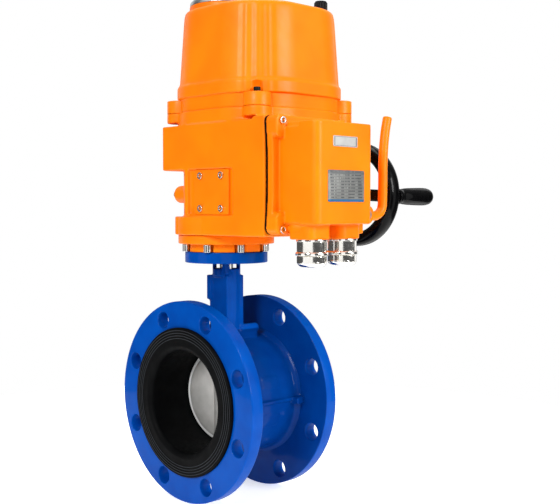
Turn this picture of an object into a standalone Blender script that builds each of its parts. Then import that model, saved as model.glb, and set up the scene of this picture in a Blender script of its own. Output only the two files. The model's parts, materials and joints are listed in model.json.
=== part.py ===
"""Motorised butterfly valve, DN 125, with two flanges.

The frame has its origin where the pipe axis meets the stem axis.
+X runs along the pipe, +Z up the stem, and -Y points to the terminal box. Sizes are in metres.
"""

import math

import bmesh
import bpy
from mathutils import Matrix, Vector

TAU = 2 * math.pi
GAP = 0.0003

# Valve body
BOLT_CIRCLE = 0.210
FLANGE_RADIUS = 0.123
FLANGE_THICK = 0.017
BODY_HALF = 0.070
BARREL_RADIUS = 0.074
LINER_BORE = 0.0625
LINER_SEAT = 0.066
SEAL_RADIUS = 0.091
SEAL_RECESS = 0.003
SEAL_PROUD = 0.004
HOLE_RADIUS = 0.0105
HOLE_COUNT = 8
TOP_DISC_RADIUS = 0.0517
TOP_DISC_LOW = 0.1684
TOP_DISC_HIGH = 0.1819
NECK_BORE = 0.0123
BOSS_BOTTOM = -0.092

# Disc and stem
DISC_RADIUS = 0.0612
REST_ANGLE = math.radians(10)
STEM_RADIUS = 0.0087
STEM_LOW = -0.083
STEM_HIGH = 0.2005
SQUARE = 0.0125

# Actuator, lower to upper
BASE_RADIUS = 0.060
BASE_LOW = 0.192
HOUSING_LOW = 0.2032
LEDGE_TOP = 0.2255
BLOCK_LOW = 0.2823
BLOCK_HIGH = 0.3367
FACE_X = -0.060
BLOCK_RIGHT = 0.112
FACE_Y = -0.131
BLOCK_BACK = 0.0526
SPLIT_Z = 0.353
FLANGE_TOP_Z = 0.3685
LIP_TOP_Z = 0.383
COVER_TOP_Z = 0.478
COVER_CENTRE = (0.028, -0.031)
SCREW_REACH = 0.0735
LUG_REACH = 0.0700
LUG_RADIUS = 0.016

# Drive
WORM_Y = -0.039
WORM_Z = 0.255
WORM_TEETH = 40
WORM_MODULE = 0.00135
THREAD_PITCH = math.pi * WORM_MODULE
GEAR_TEETH = 30
PINION_TEETH = 10
SPUR_MODULE = 0.00195
MOTOR_Y = -0.059
MOTOR_Z = WORM_Z + math.sqrt(0.039**2 - 0.020**2)
MOTOR_RADIUS = 0.025

# Handwheel and clutch
WHEEL_X = 0.203
WHEEL_RADIUS = 0.071
GRIP_REACH = 0.060
GRIP_ANGLE = math.radians(-3)
CLUTCH_X = 0.090
CLUTCH_Z = 0.225
LEVER_Y = -0.150

# Terminal box
BOX_HALF = 0.0475
BOX_FRONT = -0.200
BOX_LOW = 0.218
BOX_HIGH = 0.331
PAD_HALF = 0.060
PAD_LOW = 0.206
PAD_HIGH = 0.340
GASKET_FRONT = FACE_Y - 0.0027
PAD_FRONT = -0.1424
BOSS_FRONT = -0.1508
GLAND_X = 0.0253
GLAND_Y = -0.172

AXIS_TURN = {
    "X": Matrix.Rotation(math.pi / 2, 4, "Y"),
    "Y": Matrix.Rotation(-math.pi / 2, 4, "X"),
    "Z": Matrix.Identity(4),
}


def collection(name):
    made = bpy.data.collections.new(name)
    bpy.context.scene.collection.children.link(made)
    return made


def material(name, colour, roughness, metallic=0.0, alpha=1.0):
    made = bpy.data.materials.new(name)
    made.use_nodes = True
    shader = made.node_tree.nodes["Principled BSDF"]
    shader.inputs["Base Color"].default_value = (*colour, 1.0)
    shader.inputs["Roughness"].default_value = roughness
    shader.inputs["Metallic"].default_value = metallic
    shader.inputs["Alpha"].default_value = alpha
    return made


for old in list(bpy.data.objects):
    bpy.data.objects.remove(old, do_unlink=True)
PARTS = collection("butterfly_valve")
CUTTERS = collection("cutters")

BLUE = material("blue_paint", (0.004, 0.10, 0.52), 0.35)
ORANGE = material("orange_paint", (1.0, 0.27, 0.004), 0.38)
RUBBER = material("black_rubber", (0.012, 0.012, 0.013), 0.6)
STEEL = material("stainless_steel", (0.62, 0.62, 0.60), 0.28, 1.0)
NICKEL = material("nickel_plate", (0.72, 0.68, 0.62), 0.18, 1.0)
BRONZE = material("bronze", (0.45, 0.28, 0.12), 0.35, 1.0)
DARK = material("black_plastic", (0.01, 0.01, 0.011), 0.3)
GREY = material("grey_metal", (0.42, 0.44, 0.45), 0.4, 0.6)
GLASS = material("clear_glass", (0.9, 0.92, 0.93), 0.05, 0.0, 0.35)
WHITE = material("white_label", (0.8, 0.8, 0.78), 0.5)
GREEN = material("circuit_board", (0.02, 0.18, 0.07), 0.5)


def finish(obj, at, axis):
    """Places an object whose mesh stands on the origin along +Z."""
    obj.matrix_world = Matrix.Translation(Vector(at)) @ AXIS_TURN[axis]
    obj.data.shade_smooth()
    obj.data.set_sharp_from_angle(angle=math.radians(35))
    return obj


def new_object(name, mesh, paint):
    """Adds a sub-part, or a helper when it has no paint."""
    obj = bpy.data.objects.new(name, mesh)
    if paint is None:
        CUTTERS.objects.link(obj)
        obj.hide_render = True
        obj.display_type = "WIRE"
    else:
        PARTS.objects.link(obj)
        mesh.materials.append(paint)
    return obj


def from_bmesh(name, shape, paint):
    mesh = bpy.data.meshes.new(name)
    shape.to_mesh(mesh)
    shape.free()
    return new_object(name, mesh, paint)


def box(name, low, high, paint=None):
    """A box between two corners."""
    low, high = Vector(low), Vector(high)
    shape = bmesh.new()
    bmesh.ops.create_cube(shape, size=1.0)
    bmesh.ops.scale(shape, vec=high - low, verts=shape.verts)
    obj = from_bmesh(name, shape, paint)
    return finish(obj, (low + high) / 2, "Z")


def cylinder(name, radius, length, at, axis="Z", paint=None, sides=32, top=None):
    """A cylinder or cone from the point `at` along +axis. Six sides make a hexagon."""
    shape = bmesh.new()
    bmesh.ops.create_cone(
        shape,
        cap_ends=True,
        segments=sides,
        radius1=radius,
        radius2=radius if top is None else top,
        depth=length,
        matrix=Matrix.Translation((0, 0, length / 2)),
    )
    return finish(from_bmesh(name, shape, paint), at, axis)


def turned(name, profile, at, axis="Z", paint=None, ring=False, steps=32):
    """Turns (radius, height) points about the axis. The outer side is listed from top to bottom."""
    mesh = bpy.data.meshes.new(name)
    count = len(profile)
    edges = [(i, (i + 1) % count) for i in range(count if ring else count - 1)]
    mesh.from_pydata([(radius, 0, height) for radius, height in profile], edges, [])
    obj = new_object(name, mesh, paint)
    screw = obj.modifiers.new("turn", "SCREW")
    screw.steps = screw.render_steps = steps
    screw.use_merge_vertices = True
    screw.merge_threshold = 0.00001
    return finish(obj, at, axis)


def tube(name, outer, inner, length, at, axis="Z", paint=None, steps=32):
    """A plain ring or bush from the point `at` along +axis."""
    profile = [(outer, length), (outer, 0), (inner, 0), (inner, length)]
    return turned(name, profile, at, axis, paint, True, steps)


def converted(obj, name, paint):
    """Makes a curve a mesh with its caps welded, in the curve's place."""
    graph = bpy.context.evaluated_depsgraph_get()
    mesh = bpy.data.meshes.new_from_object(obj.evaluated_get(graph))
    shape = bmesh.new()
    shape.from_mesh(mesh)
    bmesh.ops.remove_doubles(shape, verts=shape.verts, dist=0.000001)
    shape.to_mesh(mesh)
    shape.free()
    mesh.materials.clear()
    place = obj.matrix_world.copy()
    bpy.data.objects.remove(obj, do_unlink=True)
    made = new_object(name, mesh, paint)
    made.matrix_world = place
    return made


def plate(name, outline, length, at, axis="Z", paint=None):
    """A flat outline of (x, y) points, given a thickness from `at` along +axis."""
    curve = bpy.data.curves.new(name, "CURVE")
    curve.dimensions = "2D"
    curve.fill_mode = "BOTH"
    curve.extrude = length / 2
    spline = curve.splines.new("POLY")
    spline.points.add(len(outline) - 1)
    for point, (x, y) in zip(spline.points, outline):
        point.co = (x, y, 0, 1)
    spline.use_cyclic_u = True
    guide = bpy.data.objects.new(name + "_outline", curve)
    CUTTERS.objects.link(guide)
    bpy.context.view_layer.update()
    obj = converted(guide, name, paint)
    obj.data.transform(Matrix.Translation((0, 0, length / 2)))
    return finish(obj, at, axis)


def rod(name, points, radius, paint=None, resolution=2):
    """A round bar along a line of points."""
    curve = bpy.data.curves.new(name, "CURVE")
    curve.dimensions = "3D"
    curve.bevel_depth = radius
    curve.bevel_resolution = resolution
    curve.use_fill_caps = True
    spline = curve.splines.new("POLY")
    spline.points.add(len(points) - 1)
    for point, place in zip(spline.points, points):
        point.co = (*place, 1)
    guide = bpy.data.objects.new(name + "_line", curve)
    CUTTERS.objects.link(guide)
    bpy.context.view_layer.update()
    obj = converted(guide, name, paint)
    obj.data.shade_smooth()
    return obj


def loft(name, sections, paint=None):
    """Joins outlines of equal point count, listed upwards as (height, points)."""
    shape = bmesh.new()
    rings = []
    for height, outline in sections:
        rings.append([shape.verts.new((x, y, height)) for x, y in outline])
    shape.faces.new(reversed(rings[0]))
    shape.faces.new(rings[-1])
    for lower, upper in zip(rings, rings[1:]):
        for i in range(len(lower)):
            j = (i + 1) % len(lower)
            shape.faces.new((lower[i], lower[j], upper[j], upper[i]))
    return finish(from_bmesh(name, shape, paint), (0, 0, 0), "Z")


def arc(centre, radius, start, end, count):
    """Points on an arc, angles in turns of the full circle."""
    steps = [start + (end - start) * i / count for i in range(count + 1)]
    x, y = centre
    return [
        (x + radius * math.cos(TAU * t), y + radius * math.sin(TAU * t)) for t in steps
    ]


def rounded(half_x, half_y, radius, centre=(0, 0), count=3):
    """A rectangle with round corners, anticlockwise."""
    points = []
    for turn, (sx, sy) in enumerate(((1, 1), (-1, 1), (-1, -1), (1, -1))):
        middle = (
            centre[0] + sx * (half_x - radius),
            centre[1] + sy * (half_y - radius),
        )
        points += arc(middle, radius, turn / 4, (turn + 1) / 4, count)
    return points


def gear(teeth, module, root_share, tip_share, phase, rise=0.9):
    """A gear outline with four points to a tooth. A tooth is centred at the angle `phase`."""
    pitch = teeth * module / 2
    step = TAU / teeth
    points = []
    for i in range(teeth):
        for share, radius in (
            (-root_share, pitch - 1.2 * module),
            (-tip_share, pitch + rise * module),
            (tip_share, pitch + rise * module),
            (root_share, pitch - 1.2 * module),
        ):
            angle = phase + (i + share) * step
            points.append((radius * math.cos(angle), radius * math.sin(angle)))
    return points


def boolean(target, tool, operation="DIFFERENCE"):
    modifier = target.modifiers.new(tool.name, "BOOLEAN")
    modifier.operation = operation
    modifier.object = tool
    return target


def cut(target, *tools):
    for tool in tools:
        boolean(target, tool)


def join(target, *tools):
    for tool in tools:
        boolean(target, tool, "UNION")


def carried(axis_name, at, parts):
    """Hangs moving parts on an empty that stands on their joint's axis."""
    empty = bpy.data.objects.new(axis_name, None)
    empty.location = at
    empty.empty_display_size = 0.02
    PARTS.objects.link(empty)
    bpy.context.view_layer.update()
    for part in parts:
        part.parent = empty
        part.matrix_parent_inverse = empty.matrix_world.inverted()


# ---------------------------------------------------------------- valve


def valve_body():
    """Cast barrel, two drilled flanges, the neck and the actuator's mounting disc."""
    inner = BODY_HALF - FLANGE_THICK
    fillet = 0.010
    low_fillet = arc(
        (BARREL_RADIUS + fillet, inner - fillet), fillet, 0.25, 0.5, 2
    )
    outer = [
        (FLANGE_RADIUS - 0.0015, BODY_HALF),
        (FLANGE_RADIUS, BODY_HALF - 0.0015),
        (FLANGE_RADIUS, inner),
        *low_fillet,
    ]
    lower = [(radius, -height) for radius, height in reversed(outer)]
    recess = BODY_HALF - SEAL_RECESS
    bore = [
        (SEAL_RADIUS + GAP, -BODY_HALF),
        (SEAL_RADIUS + GAP, -recess),
        (LINER_SEAT, -recess),
        (LINER_SEAT, recess),
        (SEAL_RADIUS + GAP, recess),
        (SEAL_RADIUS + GAP, BODY_HALF),
    ]
    body = turned("valve_body", outer + lower + bore, (0, 0, 0), "X", BLUE, True, 44)
    for i in range(HOLE_COUNT):
        angle = TAU * (i + 0.5) / HOLE_COUNT
        y = BOLT_CIRCLE / 2 * math.cos(angle)
        z = BOLT_CIRCLE / 2 * math.sin(angle)
        for side in (-1, 1):
            start = (side * (BODY_HALF - FLANGE_THICK / 2) - 0.02, y, z)
            cut(body, cylinder("bolt_hole", HOLE_RADIUS, 0.04, start, "X", sides=14))
    column = cylinder("neck_tube", 0.0175, 0.103, (0, 0, 0.068), sides=20)
    wings = box("neck_wings", (-0.0141, -0.0164, 0.067), (0.0141, 0.0164, 0.152))
    for side in (-1, 1):
        low = (min(side * 0.0142, side * 0.020), -0.0115, 0.067)
        high = (max(side * 0.0142, side * 0.020), 0.0115, 0.153)
        cut(wings, box("neck_channel", (low[0], low[1], 0.080), high))
    disc = cylinder(
        "mounting_disc",
        TOP_DISC_RADIUS,
        TOP_DISC_HIGH - TOP_DISC_LOW,
        (0, 0, TOP_DISC_LOW),
        sides=36,
    )
    lugs = [
        box("body_lug", (0.012, -0.020, 0.068), (0.038, -0.008, 0.090)),
        box("body_lug", (-0.038, -0.020, 0.068), (-0.012, -0.008, 0.090)),
        box("neck_lug", (-0.016, 0.010, 0.121), (-0.010, 0.0205, 0.152)),
        cylinder("lower_boss", 0.021, 0.024, (0, 0, BOSS_BOTTOM), sides=20),
    ]
    join(body, column, wings, disc, *lugs)
    cut(
        body,
        cylinder("stem_bore", NECK_BORE, 0.30, (0, 0, -0.10), sides=18),
        box("neck_window_x", (-0.03, -0.008, 0.1605), (0.03, 0.008, 0.1665)),
        box("neck_window_y", (-0.008, -0.03, 0.1605), (0.008, 0.03, 0.1665)),
    )


def seat_liner():
    """Rubber sleeve that lines the bore and turns over both flange faces."""
    face = BODY_HALF + SEAL_PROUD
    outer = [
        (LINER_BORE + 0.003, face - 0.0012),
        (LINER_BORE + 0.0065, face),
        (SEAL_RADIUS - 0.001, face),
        (SEAL_RADIUS, face - 0.001),
        (SEAL_RADIUS, BODY_HALF - SEAL_RECESS + GAP),
        (LINER_SEAT - GAP, BODY_HALF - SEAL_RECESS + GAP),
    ]
    lower = [(radius, -height) for radius, height in reversed(outer)]
    bore = [
        (LINER_BORE, -face + 0.004),
        (LINER_BORE, face - 0.004),
    ]
    liner = turned("seat_liner", outer + lower + bore, (0, 0, 0), "X", RUBBER, True, 36)
    cut(liner, cylinder("liner_hole", STEM_RADIUS + GAP, 0.16, (0, 0, -0.08), sides=18))


def disc_and_stem():
    """The closing disc on its stem. They rest ten degrees away from shut."""
    profile = [
        (0.0, 0.0055),
        (0.0545, 0.0055),
        (0.0575, 0.0048),
        (DISC_RADIUS, 0.0022),
        (DISC_RADIUS, -0.0022),
        (0.0575, -0.0048),
        (0.0545, -0.0055),
        (0.0, -0.0055),
    ]
    disc = turned("disc", profile, (0, 0, 0), "X", STEEL, steps=40)
    hub = cylinder("disc_hub", 0.0152, 0.112, (0, 0, -0.056), sides=20)
    join(disc, hub)
    cut(disc, cylinder("disc_bore", STEM_RADIUS + GAP, 0.14, (0, 0, -0.07), sides=18))
    length = 0.1835 - STEM_LOW
    stem = cylinder("stem", STEM_RADIUS, length, (0, 0, STEM_LOW), paint=STEEL, sides=18)
    half = SQUARE / 2
    tang = box("stem_tang", (-half, -half, 0.18), (half, half, STEM_HIGH))
    join(stem, tang)
    pins = []
    for i, z in enumerate((0.034, -0.034)):
        pin = cylinder(f"disc_pin_{i + 1}", 0.0033, 0.034, (-0.017, 0, z), "X", STEEL, 12)
        hole = cylinder("pin_hole", 0.0033 + GAP, 0.06, (-0.03, 0, z), "X", sides=12)
        cut(disc, hole)
        cut(stem, hole)
        pins.append(pin)
    turn = Matrix.Rotation(REST_ANGLE, 4, "Z")
    tools = {m.object for m in [*disc.modifiers, *stem.modifiers] if m.type == "BOOLEAN"}
    for obj in {disc, stem, *pins, *tools}:
        obj.matrix_world = turn @ obj.matrix_world
    return [disc, stem, *pins]


def stem_guides():
    """Bushes, seal and plug that hold the stem in the body."""
    inner = STEM_RADIUS + GAP
    outer = NECK_BORE - GAP
    tube("upper_bush", outer, inner, 0.040, (0, 0, 0.084), paint=BRONZE, steps=18)
    tube("stem_seal", outer, inner, 0.008, (0, 0, 0.1252), paint=RUBBER, steps=18)
    tube("lower_bush", outer, inner, 0.014, (0, 0, -0.0825), paint=BRONZE, steps=18)
    plug = cylinder("bottom_plug", outer, 0.0075, (0, 0, -0.0915), paint=STEEL, sides=18)
    cut(plug, cylinder("plug_socket", 0.005, 0.006, (0, 0, -0.0935), sides=6))


# ---------------------------------------------------------------- actuator shells


def base_plate():
    """Round adapter between the housing and the valve's mounting disc."""
    height = HOUSING_LOW - GAP - BASE_LOW
    base = cylinder("base_plate", BASE_RADIUS, height, (0, 0, BASE_LOW), paint=ORANGE, sides=36)
    boss_low = TOP_DISC_HIGH + GAP
    boss = cylinder("base_boss", 0.0500, BASE_LOW - boss_low + 0.002, (0, 0, boss_low), sides=36)
    join(base, boss)
    for i in range(8):
        angle = TAU * (i + 0.5) / 8
        at = (0.0525 * math.cos(angle), 0.0525 * math.sin(angle), boss_low - 0.002)
        cut(base, cylinder("scallop", 0.0075, BASE_LOW - boss_low + 0.002, at, sides=10))
    cut(base, cylinder("base_bore", 0.0182, 0.04, (0, 0, 0.17), sides=20))


def cover_outline(half, radius, count=4):
    return rounded(half, half, radius, COVER_CENTRE, count)


def corners(reach):
    x, y = COVER_CENTRE
    return [(x + sx * reach, y + sy * reach) for sx in (-1, 1) for sy in (-1, 1)]


def gear_housing():
    """Cast housing of the worm drive, open at the top under the cover."""
    right = BLOCK_RIGHT
    block = box("gear_housing", (FACE_X, FACE_Y, BLOCK_LOW), (right, BLOCK_BACK, BLOCK_HIGH), ORANGE)
    join(
        block,
        box("low_block", (FACE_X, FACE_Y + 0.0001, HOUSING_LOW), (0.105, 0.027, LEDGE_TOP)),
        cylinder("low_round", 0.0640, LEDGE_TOP - HOUSING_LOW, (0, 0, HOUSING_LOW), sides=32),
        box("worm_block", (FACE_X, FACE_Y + 0.0002, 0.2045), (right - 0.0003, 0.0097, 0.2840)),
        cylinder("wheel_chamber", 0.0530, 0.070, (0, 0, 0.2150), sides=32),
        box("terminal_pad", (-PAD_HALF, FACE_Y - 0.0003, 0.2055), (PAD_HALF, -0.112, PAD_HIGH - 0.0005)),
        cylinder("shaft_neck", 0.0240, 0.042, (0.108, WORM_Y, WORM_Z), "X", sides=24),
        cylinder("shaft_nose", 0.0170, 0.040, (0.147, WORM_Y, WORM_Z), "X", sides=20),
        cylinder("stop_boss", 0.0110, 0.025, (-0.028, 0.032, 0.2534), "Y", sides=18),
        plate("housing_rim", cover_outline(0.0890, 0.066), SPLIT_Z - 0.330, (0, 0, 0.330)),
    )
    for x, y in corners(LUG_REACH):
        join(block, cylinder("housing_lug", LUG_RADIUS, SPLIT_Z - 0.340, (x, y, 0.340), sides=16))
    cut(
        block,
        box("upper_space", (-0.052, -0.121, 0.290), (0.104, 0.0446, 0.345)),
        plate("rim_space", cover_outline(0.0800, 0.058), 0.03, (0, 0, 0.340)),
        box("worm_space", (-0.0521, -0.1211, 0.2200), (0.1041, 0.0020, 0.2950)),
        cylinder("wheel_space", 0.0450, 0.055, (0, 0, 0.2400), sides=24),
        cylinder("shaft_hole", 0.0173, 0.06, (0, 0, 0.195), sides=20),
        box("plate_pocket", (-0.070, -0.0772, 0.2275), (-0.0550, 0.0100, 0.2823)),
        cylinder("worm_bore", 0.0064, 0.25, (-0.045, WORM_Y, WORM_Z), "X", sides=18),
        cylinder("stop_hole", 0.0048, 0.05, (-0.028, 0.030, 0.2534), "Y", sides=16),
        cylinder("wire_hole", 0.0120, 0.05, (0.030, -0.140, 0.300), "Y", sides=20),
    )
    join(block, cylinder("bearing_boss", 0.0180, 0.009, (-0.0545, WORM_Y, WORM_Z), "X", sides=20))
    cut(
        block,
        cylinder("near_seat", 0.0134, 0.02, (-0.0600, WORM_Y, WORM_Z), "X", sides=20),
        cylinder("far_seat", 0.0134, 0.0113, (0.1005, WORM_Y, WORM_Z), "X", sides=20),
        cylinder("clutch_hole", 0.0063, 0.040, (CLUTCH_X, -0.150, CLUTCH_Z + 0.003), "Y", sides=20),
    )
    for y in (-0.0203, -0.0577):
        for z in (0.2355, 0.2746):
            cut(block, cylinder("plate_tap", 0.0025, 0.02, (-0.0640, y, z), "X", sides=8))
    for x in (-0.0510, 0.0510):
        for z in (0.2120, 0.3330):
            cut(block, cylinder("terminal_tap", 0.0029, 0.024, (x, -0.1450, z), "Y", sides=8))
    for x, y in corners(SCREW_REACH):
        cut(block, cylinder("cover_tap", 0.0030, 0.012, (x, y, SPLIT_Z - 0.010), sides=8))


def bearing_plate():
    low, high = (-0.0585, -0.0700, 0.2280), (-0.0553, -0.0080, 0.2818)
    plate_box = box("bearing_plate", low, high, ORANGE)
    for i, y in enumerate((-0.0203, -0.0577)):
        for j, z in enumerate((0.2355, 0.2746)):
            name = f"plate_screw_{2 * i + j + 1}"
            cut(plate_box, cylinder("plate_hole", 0.0025, 0.02, (-0.0650, y, z), "X", sides=8))
            pan_screw(name, (-0.0589, y, z), "X", 0.0034, 0.0020, 0.010)


def pan_screw(name, at, axis, head, shank, length, height=0.0028):
    """A round-headed screw whose head sits before `at` and whose shank runs along +axis."""
    profile = [
        (0.0, length),
        (shank, length),
        (shank, 0.0),
        (head, 0.0),
        (head, -0.6 * height),
        (0.65 * head, -height),
        (0.0, -height),
    ]
    return turned(name, profile, at, axis, STEEL, steps=10)


def top_cover():
    """Bell over the motor, with corner flutes for its screws and a round seat for the indicator."""
    split = SPLIT_Z + 0.0016
    height = FLANGE_TOP_Z - split
    rim = cover_outline(0.0890, 0.066)
    cover = plate("top_cover", rim, height, (0, 0, split), paint=ORANGE)
    bell = loft(
        "bell",
        [
            (FLANGE_TOP_Z - 0.004, cover_outline(0.0920, 0.068)),
            (LIP_TOP_Z, cover_outline(0.0920, 0.068)),
            (LIP_TOP_Z + 0.003, cover_outline(0.0895, 0.066)),
            (COVER_TOP_Z - 0.005, cover_outline(0.0840, 0.063)),
            (COVER_TOP_Z - 0.0015, cover_outline(0.0825, 0.0615)),
            (COVER_TOP_Z, cover_outline(0.0790, 0.058)),
        ],
    )
    join(cover, bell)
    for x, y in corners(LUG_REACH):
        join(cover, cylinder("cover_lug", LUG_RADIUS, height, (x, y, split), sides=16))
    join(cover, cylinder("indicator_seat", 0.0448, 0.0144, (0, 0, 0.470), sides=32))
    for x, y in corners(SCREW_REACH + 0.004):
        cut(cover, cylinder("flute", 0.0120, 0.12, (x, y, FLANGE_TOP_Z), sides=14))
    for x, y in corners(SCREW_REACH):
        cut(cover, cylinder("cover_hole", 0.0030, 0.05, (x, y, SPLIT_Z - 0.01), sides=8))
    hollow = loft(
        "hollow",
        [
            (SPLIT_Z - 0.01, cover_outline(0.0780, 0.056)),
            (LIP_TOP_Z, cover_outline(0.0780, 0.056)),
            (COVER_TOP_Z - 0.005, cover_outline(0.0730, 0.052)),
        ],
    )
    for x, y in corners(SCREW_REACH + 0.004):
        cut(hollow, cylinder("flute_wall", 0.0160, 0.13, (x, y, 0.360), sides=14))
    cut(
        cover,
        hollow,
        cylinder("indicator_hole", 0.0095, 0.05, (0, 0, 0.450), sides=24),
        cylinder("cap_hole", 0.0050, 0.05, (0.082, -0.085, 0.450), sides=16),
    )
    low = SPLIT_Z + GAP
    seal = plate("cover_gasket", cover_outline(0.0875, 0.0655), 0.001, (0, 0, low), paint=RUBBER)
    cut(seal, plate("seal_opening", cover_outline(0.0810, 0.059), 0.01, (0, 0, low - 0.004)))
    for i, (x, y) in enumerate(corners(SCREW_REACH)):
        profile = [
            (0.0, 0.006),
            (0.0042, 0.006),
            (0.0042, GAP),
            (0.0026, GAP),
            (0.0026, -0.022),
            (0.0, -0.022),
        ]
        turned(f"cover_screw_{i + 1}", profile, (x, y, FLANGE_TOP_Z), paint=DARK, steps=12)


def dome_line(radius, rise):
    """A quarter ellipse from the top of a dome to its rim, then its short straight foot."""
    foot = 0.002
    line = [(0.0, foot + rise)]
    for i in range(3, -1, -1):
        angle = TAU * i / 16
        line.append((radius * math.cos(angle), foot + rise * math.sin(angle)))
    return [*line, (radius, 0.0)]


def indicator():
    """Silver bezel and clear dome over the position pointer."""
    low = 0.4844 + GAP
    profile = [
        (0.0405, 0.0075),
        (0.0440, 0.0045),
        (0.0445, 0.0),
        (0.0352, 0.0),
        (0.0352, 0.0075),
    ]
    turned("indicator_bezel", profile, (0, 0, low), paint=GREY, ring=True, steps=32)
    outer = dome_line(0.0349, 0.0135)
    inner = dome_line(0.0325, 0.0115)
    turned("indicator_window", outer + inner[::-1], (0, 0, low), paint=GLASS, steps=24)
    profile = [
        (0.0, 0.014),
        (0.0075, 0.014),
        (0.0085, 0.0115),
        (0.0085, 0.0),
        (0.0040, 0.0),
        (0.0040, -0.012),
        (0.0, -0.012),
    ]
    at = (0.082, -0.085, COVER_TOP_Z + GAP)
    turned("breather_cap", profile, at, paint=DARK, steps=14)


# ---------------------------------------------------------------- drive


def output_train():
    """Output shaft with the worm wheel, the switch cam and the pointer."""
    profile = [
        (0.0, 0.4875),
        (0.0045, 0.4875),
        (0.0045, 0.4810),
        (0.0080, 0.4810),
        (0.0080, 0.2660),
        (0.0168, 0.2620),
        (0.0168, 0.1845),
        (0.0, 0.1845),
    ]
    shaft = turned("output_shaft", profile, (0, 0, 0), paint=STEEL, steps=20)
    half = SQUARE / 2 + GAP
    socket = box("square_socket", (-half, -half, 0.18), (half, half, 0.203))
    socket.matrix_world = Matrix.Rotation(REST_ANGLE, 4, "Z") @ socket.matrix_world
    cut(shaft, socket)
    step = TAU / WORM_TEETH
    teeth_used = 14
    first = -TAU / 4 - (teeth_used - 2.5) * step
    outline = gear(WORM_TEETH, WORM_MODULE, 0.22, 0.09, first, 0.3)[: 4 * teeth_used]
    outline += arc((0, 0), 0.0225, -0.16, 0.46, 8)
    wheel = plate("worm_wheel", outline, 0.012, (0, 0, WORM_Z - 0.006), paint=BRONZE)
    cut(wheel, cylinder("wheel_bore", 0.0168 + GAP, 0.03, (0, 0, 0.24), sides=20))
    cam_outline = arc((0, 0), 0.016, -0.15, 0.15, 6) + arc((0, 0), 0.0125, 0.2, 0.8, 10)
    cam = plate("switch_cam", cam_outline, 0.014, (0, 0, 0.330), paint=DARK)
    cut(cam, cylinder("cam_bore", 0.0080 + GAP, 0.03, (0, 0, 0.32), sides=20))
    arrow = [(-0.028, 0.0), (-0.014, -0.010), (0.026, -0.006), (0.026, 0.006), (-0.014, 0.010)]
    pointer = plate("indicator_pointer", arrow, 0.002, (0, 0, 0.4853), paint=DARK)
    cut(pointer, cylinder("pointer_bore", 0.0045 + GAP, 0.01, (0, 0, 0.48), sides=16))
    return [shaft, wheel, cam, pointer]


def switch_and_board():
    box("limit_switch", (0.0170, -0.0110, 0.3290), (0.0340, 0.0090, 0.3470), DARK)
    box("circuit_board", (0.0200, 0.0360, 0.2950), (0.0800, 0.0378, 0.3380), GREEN)


def worm_train():
    """Worm shaft with its thread, bearings and the gear that the motor drives."""
    turns = 6
    count = 12 * turns
    points = []
    for i in range(count + 1):
        angle = TAU * (i / 12 - turns / 2)
        points.append(
            (
                -THREAD_PITCH * angle / TAU,
                WORM_Y + 0.0120 * math.cos(angle),
                WORM_Z + 0.0120 * math.sin(angle),
            )
        )
    shaft = cylinder("worm_shaft", 0.0060, 0.261, (-0.0530, WORM_Y, WORM_Z), "X", STEEL, 16)
    core = cylinder("worm_core", 0.0113, 0.036, (-0.018, WORM_Y, WORM_Z), "X", sides=18)
    join(shaft, core, rod("worm_thread", points, 0.00115, resolution=0))
    for name, x in (("worm_bearing_near", -0.0545), ("worm_bearing_far", 0.1044)):
        tube(name, 0.0130, 0.0063, 0.0070, (x, WORM_Y, WORM_Z), "X", GREY, 20)
    toward = math.atan2(MOTOR_Z - WORM_Z, MOTOR_Y - WORM_Y)
    # A plate turned to the X axis has its own +X along -Z, so the angle is measured from there.
    phase = toward + TAU / 4
    outline = gear(GEAR_TEETH, SPUR_MODULE, 0.29, 0.10, phase)
    drive = plate("drive_gear", outline, 0.010, (0.084, WORM_Y, WORM_Z), "X", STEEL)
    cut(drive, cylinder("gear_bore", 0.0063, 0.03, (0.075, WORM_Y, WORM_Z), "X", sides=20))
    back = phase + math.pi + TAU / PINION_TEETH / 2
    outline = gear(PINION_TEETH, SPUR_MODULE, 0.29, 0.10, back)
    pinion = plate("motor_pinion", outline, 0.012, (0.083, MOTOR_Y, MOTOR_Z), "X", STEEL)
    join(pinion, cylinder("motor_shaft", 0.0030, 0.028, (0.066, MOTOR_Y, MOTOR_Z), "X", sides=14))
    motor = cylinder("motor", MOTOR_RADIUS, 0.114, (-0.042, MOTOR_Y, MOTOR_Z), "X", GREY, 24)
    cut(motor, cylinder("motor_bore", 0.0034, 0.02, (0.064, MOTOR_Y, MOTOR_Z), "X", sides=14))
    bracket = box("motor_bracket", (0.0725, -0.1205, 0.2680), (0.0765, -0.0310, 0.3160), GREY)
    cut(bracket, cylinder("bracket_hole", 0.0050, 0.02, (0.065, MOTOR_Y, MOTOR_Z), "X", sides=14))
    return [shaft, drive], [pinion]


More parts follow.
